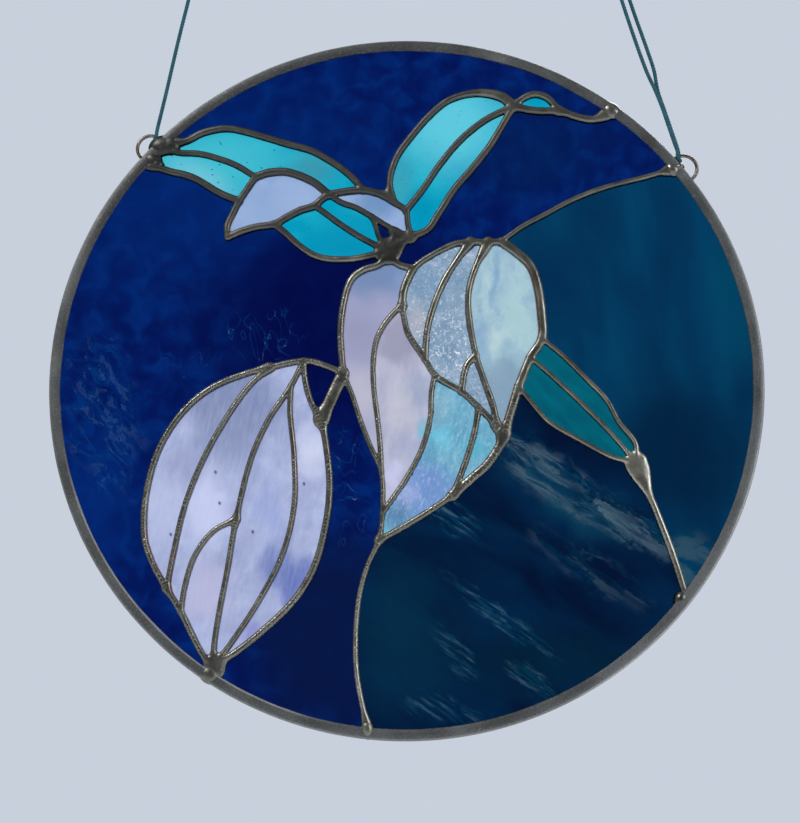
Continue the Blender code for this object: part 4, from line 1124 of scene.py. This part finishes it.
# Where foil shows: seam, then from and to as shares of its length, and on which side
BARE_FOIL = {
    ("bud_left_top", "bud_low_left", "outer"): (0.78, 1.0, 1),
    ("bud_low_left", "bud_low_mid", ""): (0.0, 1.0, 1),
    ("bud_left_top", "bud_low_left", ""): (0.84, 1.0, 1),
    ("bud_split", "bud_foot", ""): (0.1, 0.5, 1),
    ("bud_inner", "bud_low_mid", ""): (0.0, 0.16, -1),
    ("hub", "bud_meets_bloom", ""): (0.4, 0.95, 1),
    ("cleft", "left_meet", ""): (0.04, 0.3, -1),
    ("front_foot", "front_tip", ""): (0.05, 0.6, 1),
    ("low_fork", "low_corner", ""): (0.45, 0.95, -1),
    ("low_corner", "bloom_tip", ""): (0.05, 0.45, -1),
    ("horizon", "leaf_root_top", ""): (0.3, 1.0, -1),
    ("leaf_root_low", "side", ""): (0.1, 0.9, -1),
    ("top_right", "tip_high", ""): (0.25, 0.8, 1),
    ("fork_b", "turned_tip", ""): (0.4, 1.0, 1),
    ("turned_tip", "turned_low", ""): (0.0, 1.0, 1),
    ("turned_low", "turned_mid", ""): (0.0, 1.0, 1),
    ("turned_mid", "turned_end", ""): (0.0, 1.0, 1),
    ("turned_end", "gap_top", ""): (0.45, 1.0, 1),
}


def attribute(tree, name):
    """A number that a mesh keeps at each of its points."""
    node = tree.nodes.new("ShaderNodeAttribute")
    node.attribute_name = name
    return node.outputs["Fac"]


def solder():
    """Pewter grey metal, duller in patches and coppery where the foil is bare, with painted shade over
    the upper part, painted light down the stems, painted highlight flecks low down and painted
    highlights on the wrinkles' crests.
    """
    material, tree, shader, place = new_material("solder_bead", metallic=0.92)
    patina = clouds(tree, place, 14.0, detail=4.0, rough=0.55)
    tone = ramp(tree, patina, [(0.3, (0.19, 0.19, 0.165)), (0.58, (0.29, 0.284, 0.242)),
                               (0.76, (0.44, 0.425, 0.36))])
    # Painted shade: the upper part of the panel is painted darker; the same patch also makes it rougher.
    upper = patch(tree, place, (-15, 92), (125, 44), core=0.6)
    tone = layer(tree, times(tree, upper, 0.82), tone, (0.085, 0.087, 0.084))
    # Darker at the hub, at the left ring's puddle and at the right stem's puddle. The lighter patches
    # down the right stem and the lower stem are painted light.
    tone = tints(tree, place, tone, [
        ((-8, 56), (15, 10), (0.04, 0.043, 0.043), 0.6, 0, 0.5),
        ((-104, 101), (14, 12), (0.07, 0.07, 0.066), 0.85, 0, 0.6),
        ((100, -54), (18, 38), (0.52, 0.5, 0.42), 0.85, 20, 0.5),
        ((-17, -112), (10, 40), (0.55, 0.53, 0.45), 0.8, 0, 0.5),
        ((112, -93), (7, 6), (0.11, 0.11, 0.105), 0.8, 0, 0.6),
    ])
    low = patch(tree, place, (-30, -48), (92, 90), core=0.75)
    # Low on the panel the solder is flecked: the light flecks are painted highlights, the dark ones dark
    # specks.
    flecks = clouds(tree, place, (1.5, 1.1), detail=2.0, rough=0.6)
    flecked = layer(tree, spread(tree, flecks, 0.6, 0.72, 0.0, 0.4), tone, (0.58, 0.55, 0.48))
    flecked = layer(tree, spread(tree, flecks, 0.4, 0.3, 0.0, 0.4), flecked, (0.08, 0.078, 0.068))
    tone = layer(tree, spread(tree, low, 0.0, 1.0, 0.3, 1.0), tone, flecked)
    bare = times(tree, spread(tree, attribute(tree, "edge"), 0.6, 0.8), attribute(tree, "bare_foil"))
    tone = layer(tree, bare, tone, (0.31, 0.14, 0.11))
    waver = spread(tree, clouds(tree, place, 9.0), 0.2, 0.8, 0.0, 12.0)
    turn = times(tree, times(tree, attribute(tree, "along"), 3.9, clamp=False), waver, "ADD")
    crest = spread(tree, times(tree, turn, 0.0, "SINE"), 0.35, 1.0)
    where = times(tree, spread(tree, clouds(tree, place, 7.0, detail=2.0), 0.44, 0.54), low)
    broad = patch(tree, place, (-30, -8), (9, 15), core=0.7)
    wrinkle = times(tree, crest, times(tree, where, spread(tree, broad, 0.0, 1.0, 1.0, 0.15)))
    # Painted highlight: the wrinkles' crests are painted lighter; the wrinkles themselves are bumps.
    tone = layer(tree, times(tree, wrinkle, 0.3), tone, (0.6, 0.58, 0.5))
    tree.links.new(tone, shader.inputs["Base Color"])
    dull = spread(tree, clouds(tree, place, 5.0, detail=3.0), 0.35, 0.65, 0.27, 0.4)
    tree.links.new(times(tree, dull, times(tree, upper, 0.14), "ADD"), shader.inputs["Roughness"])
    grain = clouds(tree, place, 1.7, detail=2.0, rough=0.5)
    uneven = times(tree, grain, spread(tree, low, 0.0, 1.0, 0.5, 0.8))
    ridges = times(tree, wrinkle, 1.9, clamp=False)
    bump(tree, shader, times(tree, ridges, uneven, "ADD"), 0.16)
    return material


def solder_run():
    """The beads' field over the whole disc: 1 along the middle of a seam, 0 at its edge."""
    corner = np.array([GLASS_R, GLASS_R])
    xs, zs = grid(-corner, corner, BEAD_STEP)
    pile = np.zeros((len(zs), len(xs)))
    middle = np.full(pile.shape, 99.0)
    along, bare = np.zeros(pile.shape), np.zeros(pile.shape)
    for seam, points in seams.items():
        far, share, spot = seam_field(points, xs, zs, 2.0)
        pile += np.exp(-share / POOLING)
        nearest = far < middle
        middle = np.minimum(middle, far)
        along = np.where(nearest, np.abs(spot), along)
        start, end, side = BARE_FOIL.get(seam, (0, 0, 0))
        length = distances([point.xy for point in points])[-1]
        shown = (spot * side > start * length) & (spot * side < end * length)
        bare = np.where(nearest, shown, bare)
    share = -POOLING * np.log(np.maximum(pile, 1e-30))
    return xs, zs, share, middle, {"along": along, "bare_foil": bare}


def lumpy(places, size, seed):
    """Smooth noise from about -1 to 1 at each place, its lumps about this size across."""
    return np.array([noise.noise(Vector((x / size, seed, z / size))) for x, z, _ in places])


def mark(mesh, name, values):
    """Keep a number at each of a mesh's points for its material."""
    mesh.attributes.new(name, "FLOAT", "POINT").data.foreach_set("value", values.astype(float))


def bead_side(name, side, material):
    """The beads on one face, standing on the glass and reaching a little into it."""
    wobble = np.array([[noise.noise(Vector((x / 5, side * 9, z / 5))) for x in xs[::4]]
                       for z in zs[::4]])
    wobble = np.kron(wobble, np.ones((4, 4)))[:len(zs), :len(xs)]
    field = 1 - share * (1 + 0.05 * wobble)
    field = np.minimum(field, RIM_LIP_R + BEAD_OVER_LIP - np.hypot(*np.meshgrid(xs, zs)))
    places, faces = clipped_grid(field, xs, zs)
    rise = np.clip(places[:, 2], 0, 1)
    height = BEAD_HEIGHT * np.sqrt(np.clip(1 - (1 - rise) ** 2, 0, 1))
    height *= 0.95 + 0.16 * lumpy(places, 7.0, side * 3) + 0.05 * lumpy(places, 2.6, side * 5)
    face = side * (GLASS_THICKNESS / 2 + np.maximum(height, 0.0))
    sunk = np.full(len(places), side * (GLASS_THICKNESS / 2 - BEAD_SINK))
    front, back = (face, sunk) if side < 0 else (sunk, face)
    mesh = slab(name, places, faces, front, back)
    mark(mesh, "edge", np.tile(1 - rise, 2))
    rows = np.clip(np.rint((places[:, 1] - zs[0]) / BEAD_STEP).astype(int), 0, len(zs) - 1)
    columns = np.clip(np.rint((places[:, 0] - xs[0]) / BEAD_STEP).astype(int), 0, len(xs) - 1)
    for mark_name, values in marks.items():
        mark(mesh, mark_name, np.tile(values[rows, columns], 2))
    return new_piece(name, mesh, material, ["solder_seams"], sharp=70)


solder_metal = solder()
xs, zs, share, middle, marks = solder_run()
bead_side("solder_front", -1, solder_metal)
bead_side("solder_back", 1, solder_metal)
web = np.minimum(FOIL_GAP - WEB_FIT - middle, RIM_LIP_R - np.hypot(*np.meshgrid(xs, zs)))
places, faces = clipped_grid(web, xs, zs)
half = np.full(len(places), GLASS_THICKNESS / 2 - WEB_INSET)
new_piece("solder_web", slab("solder_web", places, faces, -half, half), solder_metal,
          ["solder_seams"], sharp=40)


# Solder puddles: where a seam or a ring reaches the rim, solder was flooded over the
# came so that all holds together. Each is a rounded lump on both faces and the edge.
PUDDLE_HALF_DEPTH = 3.0
PUDDLE_VOXEL = 0.35
PUDDLE_LUMPS = 3.4

# Each puddle's lumps: x, z, half width, half height and turn in degrees
PUDDLES = {
    "puddle_ring_left": [(-104.8, 103.0, 6.6, 4.9, 14), (-101.5, 103.4, 4.6, 4.9, 14),
                         (-109.0, 96.2, 4.6, 4.2, -45), (-107.0, 94.4, 3.4, 2.5, -20)],
    "puddle_tendril": [(89.2, 117.0, 4.8, 3.8, -40)],
    "puddle_ring_right": [(114.6, 90.4, 3.9, 3.2, -52), (117.8, 91.4, 2.2, 2.0, 0)],
    "puddle_bud": [(-79.5, -123.5, 4.8, 3.8, -35)],
    "puddle_stem": [(-15.3, -145.1, 2.9, 4.4, 6)],
    "puddle_right_stem": [(112.4, -93.0, 3.8, 3.0, 60)],
}


def puddle(name, lumps, material):
    """Squashed balls melted together by a voxel remesh, lumpy as cooled solder."""
    for x, z, wide, tall, turn in lumps:
        bpy.ops.object.select_all(action="DESELECT")
        bpy.ops.mesh.primitive_uv_sphere_add(segments=32, ring_count=20, radius=1.0)
        ball = bpy.context.object
        place = in_place((x, 0, z))
        ball.matrix_world = (Matrix.Translation(place) @ Matrix.Rotation(math.radians(-turn), 4, "Y")
                             @ Matrix.Diagonal((wide * MM, PUDDLE_HALF_DEPTH * MM, tall * MM, 1)))
        bpy.ops.object.transform_apply(location=True, rotation=True, scale=True)
        ball.name = name + "_part"
    parts = [ob for ob in bpy.data.objects if ob.name.startswith(name + "_part")]
    bpy.ops.object.select_all(action="DESELECT")
    for part in parts:
        part.select_set(True)
    bpy.context.view_layer.objects.active = parts[0]
    if len(parts) > 1:
        bpy.ops.object.join()
    whole = bpy.context.object
    remesh = whole.modifiers.new("melt", "REMESH")
    remesh.mode = "VOXEL"
    remesh.voxel_size = PUDDLE_VOXEL * MM
    soften = whole.modifiers.new("soften", "SMOOTH")
    soften.factor = 0.6
    soften.iterations = 6
    bpy.ops.object.modifier_apply(modifier="melt")
    bpy.ops.object.modifier_apply(modifier="soften")
    mesh = whole.data.copy()
    bpy.data.objects.remove(whole)
    for vertex in mesh.vertices:
        lump = noise.noise(vertex.co / MM / PUDDLE_LUMPS)
        vertex.co.x += 0.2 * lump * vertex.normal.x * MM
        vertex.co.z += 0.2 * lump * vertex.normal.z * MM
        vertex.co.y *= 1.0 + 0.03 * lump
    mesh.name = name
    return new_piece(name, mesh, material)


for name, lumps in PUDDLES.items():
    puddle(name, lumps, solder_metal)


# Rim: U-shaped lead came bent round the disc, its face worn smooth, dull dark grey, a
# little uneven along its length, with fine scratches, a lighter outer edge that is partly
# rubbed and partly a painted highlight, a painted highlight on the inner lip at the lower
# left and painted shade over the upper left.
RIM_OUTER_R = 150.0
RIM_FACE = 2.35
RIM_BACK_LIP = 0.9
RIM_WALL = 1.0
RIM_SLOT_FIT = 0.1
RIM_STEPS = 300


def lead():
    """Dull dark lead with fine scratches, its edge partly rubbed and partly a painted highlight, with
    painted shade at the upper left and a painted highlight on the lower left lip.
    """
    material, tree, shader, place = new_material("lead_came", metallic=0.75)
    patina = clouds(tree, place, (16, 16), detail=4.0, rough=0.5)
    tone = ramp(tree, patina, [(0.3, (0.115, 0.12, 0.12)), (0.62, (0.165, 0.172, 0.172)),
                               (0.8, (0.23, 0.238, 0.236))])
    # Painted shade: the upper left of the rim is painted darker.
    tone = tinted(tree, place, tone, (-88, 130), (125, 92), (0.085, 0.088, 0.09), 0.85, core=0.7)
    # Lighter towards the lower right, partly rubbed metal and partly painted light; it also sets how
    # bright the outer edge is.
    rubbed = patch(tree, place, (110, -80), (75, 110), turn=20, core=0.5)
    tone = layer(tree, times(tree, rubbed, 0.4), tone, (0.27, 0.28, 0.285))
    radius = radii_away(tree, place)
    # Painted highlight along the outer edge, partly rubbed metal and partly light caught by the edge.
    outer = times(tree, spread(tree, radius, 148.9, 149.4), spread(tree, rubbed, 0.0, 1.0, 0.35, 0.8))
    tone = layer(tree, outer, tone, (0.55, 0.55, 0.53))
    # Painted highlight: the inner lip at the lower left is painted light.
    lower_left = patch(tree, place, (-100, -100), (90, 90), core=0.6)
    lip_highlight = times(tree, spread(tree, radius, 146.1, 145.7), lower_left)
    tone = layer(tree, times(tree, lip_highlight, 0.8), tone, (0.6, 0.59, 0.54))
    for turn, size in ((35, (7.0, 0.5)), (-40, (7.0, 0.5)), (85, (7.0, 0.6))):
        scratches = spread(tree, clouds(tree, place, size, detail=3.0, turn=turn), 0.6, 0.74)
        tone = layer(tree, times(tree, scratches, 0.35), tone, (0.36, 0.37, 0.36))
    pits = clouds(tree, place, 0.8, detail=2.0, rough=0.6)
    tone = layer(tree, spread(tree, pits, 0.52, 0.66, 0.0, 0.3), tone, (0.06, 0.06, 0.058))
    tone = layer(tree, spread(tree, pits, 0.46, 0.34, 0.0, 0.25), tone, (0.42, 0.42, 0.4))
    tree.links.new(tone, shader.inputs["Base Color"])
    tree.links.new(spread(tree, patina, 0.3, 0.7, 0.44, 0.56), shader.inputs["Roughness"])
    bump(tree, shader, clouds(tree, place, 1.6, detail=4.0, rough=0.6), 0.08)
    return material


def came_mesh():
    """The came's U section, its back rounded, turned round the disc."""
    lip_r, wall_r = RIM_LIP_R, RIM_OUTER_R - RIM_WALL
    slot = GLASS_THICKNESS / 2 + RIM_SLOT_FIT
    face = [(lip_r, slot), (lip_r, RIM_FACE - 0.55), (lip_r + 0.25, RIM_FACE - 0.15),
            (lip_r + 0.8, RIM_FACE), (lip_r + 2.4, RIM_FACE + 0.1), (RIM_OUTER_R - 0.9, RIM_FACE - 0.05),
            (RIM_OUTER_R - 0.35, RIM_FACE - 0.35), (RIM_OUTER_R - 0.06, RIM_FACE - 0.95),
            (RIM_OUTER_R, RIM_FACE - 1.7)]
    section = [(radius, -depth) for radius, depth in face]
    section += [(radius, depth) for radius, depth in reversed(face)]
    section += [(wall_r, slot), (wall_r, -slot)]
    verts, faces = [], []
    count = len(section)
    for step in range(RIM_STEPS):
        degrees = 360 * step / RIM_STEPS
        way = polar(1.0, degrees)
        for radius, depth in section:
            dent = 0.09 * noise.noise(Vector((way.x * 9, depth, way.y * 9)))
            dent += 0.05 * noise.noise(Vector((way.x * 34, depth, way.y * 34)))
            inner = radius < lip_r + 1
            if inner and depth > 0:
                radius += RIM_BACK_LIP
            spot = way * min(radius + dent * (2.0 if inner else 0.6), RIM_OUTER_R)
            verts.append(in_place((spot.x, depth + dent * math.copysign(0.7, depth), spot.y)))
        after = (step + 1) % RIM_STEPS
        for index in range(count):
            turn = (index + 1) % count
            faces.append((step * count + index, after * count + index,
                          after * count + turn, step * count + turn))
    mesh = bpy.data.meshes.new("rim_came")
    mesh.from_pydata(verts, [], faces)
    return mesh


new_piece("came", came_mesh(), lead(), ["rim_came"], sharp=24)


# Rings: two loops of tinned copper wire, their ends standing on the came and drowned in
# the puddles of solder there.
RING_POINTS = 41
RING_STANDS_OFF = 0.3


def tinned_wire():
    """Tinned wire: brownish silver, duller in patches, with faint drawing lines."""
    material, tree, shader, place = new_material("ring_tinned_wire", metallic=1.0)
    tone = ramp(tree, clouds(tree, place, 3.0, detail=4.0),
                [(0.35, (0.17, 0.14, 0.11)), (0.65, (0.4, 0.37, 0.32))])
    tree.links.new(tone, shader.inputs["Base Color"])
    tree.links.new(spread(tree, clouds(tree, place, 1.0), 0.3, 0.7, 0.25, 0.45),
                   shader.inputs["Roughness"])
    bump(tree, shader, clouds(tree, place, 0.5, detail=3.0), 0.05)
    return material


wire_metal = tinned_wire()
for node, degrees in RING_ANGLES.items():
    middle = polar(RING_CENTRE_R, degrees)
    half_turn = math.acos((RIM_OUTER_R + RING_STANDS_OFF - RING_CENTRE_R) / RING_MID_R)
    data = bpy.data.curves.new(node, "CURVE")
    data.dimensions = "3D"
    data.bevel_depth = RING_WIRE_D / 2 * MM
    data.bevel_resolution = 4
    data.use_fill_caps = True
    spline = data.splines.new("POLY")
    spline.points.add(RING_POINTS - 1)
    for index, point in enumerate(spline.points):
        turn = math.radians(degrees) + half_turn * (2 * index / (RING_POINTS - 1) - 1)
        spot = middle + RING_MID_R * Vector((math.cos(turn), math.sin(turn)))
        point.co = (*in_place((spot.x, 0, spot.y)), 1)
    holder = bpy.data.objects.new(node + "_curve", data)
    mesh = bpy.data.meshes.new_from_object(holder)
    bpy.data.objects.remove(holder)
    new_piece(node + "_wire", mesh, wire_metal, [node], sharp=60)


# Studio: a plain pale floor well below the panel, soft lights from above, and a pale
# surround that shines through the glass but is dim in its reflections.
FLOOR_Z = -0.62
FLOOR_SIZE = 3.0


def light(name, place, target, size, power, colour=(1, 1, 1)):
    """A soft lamp that is seen only by what it lights."""
    data = bpy.data.lights.new(name, "AREA")
    data.size = size
    data.energy = power
    data.color = colour
    lamp = bpy.data.objects.new(name, data)
    bpy.context.collection.objects.link(lamp)
    lamp.location = place
    lamp.rotation_euler = (Vector(target) - Vector(place)).to_track_quat("-Z", "Y").to_euler()
    lamp.visible_camera = False
    lamp.visible_transmission = False


light("key", (-0.9, -1.1, 1.0), (0, 0, -0.15), 0.5, 11)
light("fill", (1.3, -1.0, 0.2), (0, 0, -0.2), 0.8, 7, (0.9, 0.95, 1.0))
light("back", (0.5, 1.2, 1.0), (0, 0, -0.15), 0.7, 12)

bpy.ops.object.select_all(action="DESELECT")
bpy.ops.mesh.primitive_plane_add(size=FLOOR_SIZE, location=(0, 0, FLOOR_Z))
floor = bpy.context.object
floor.name = "floor"
floor_paint, tree, shader, place = new_material("floor_paint", roughness=0.9)
shader.inputs["Base Color"].default_value = (0.7, 0.71, 0.73, 1)
floor.data.materials.append(floor_paint)

world = bpy.data.worlds.new("world")
bpy.context.scene.world = world
world.use_nodes = True
tree = world.node_tree
rays = tree.nodes.new("ShaderNodeLightPath")
sky = tree.nodes.new("ShaderNodeTexCoord")
split = tree.nodes.new("ShaderNodeSeparateXYZ")
tree.links.new(sky.outputs["Generated"], split.inputs["Vector"])
facing = tree.nodes.new("ShaderNodeMath")
facing.operation = "ABSOLUTE"
tree.links.new(split.outputs["Y"], facing.inputs[0])
rising = spread(tree, split.outputs["Z"], -0.75, 0.25)
sides = layer(tree, rising, (0.44, 0.43, 0.41), (0.14, 0.145, 0.15))
mirrored = layer(tree, spread(tree, facing.outputs[0], 0.6, 0.85), sides, (0.03, 0.031, 0.033))
through = layer(tree, rays.outputs["Is Transmission Ray"], mirrored, (0.86, 0.88, 0.96))
dimmed = layer(tree, rays.outputs["Is Glossy Ray"], (0.5, 0.52, 0.56), through)
seen = layer(tree, rays.outputs["Is Camera Ray"], dimmed, (0.58, 0.63, 0.72))
tree.links.new(seen, tree.nodes["Background"].inputs["Color"])
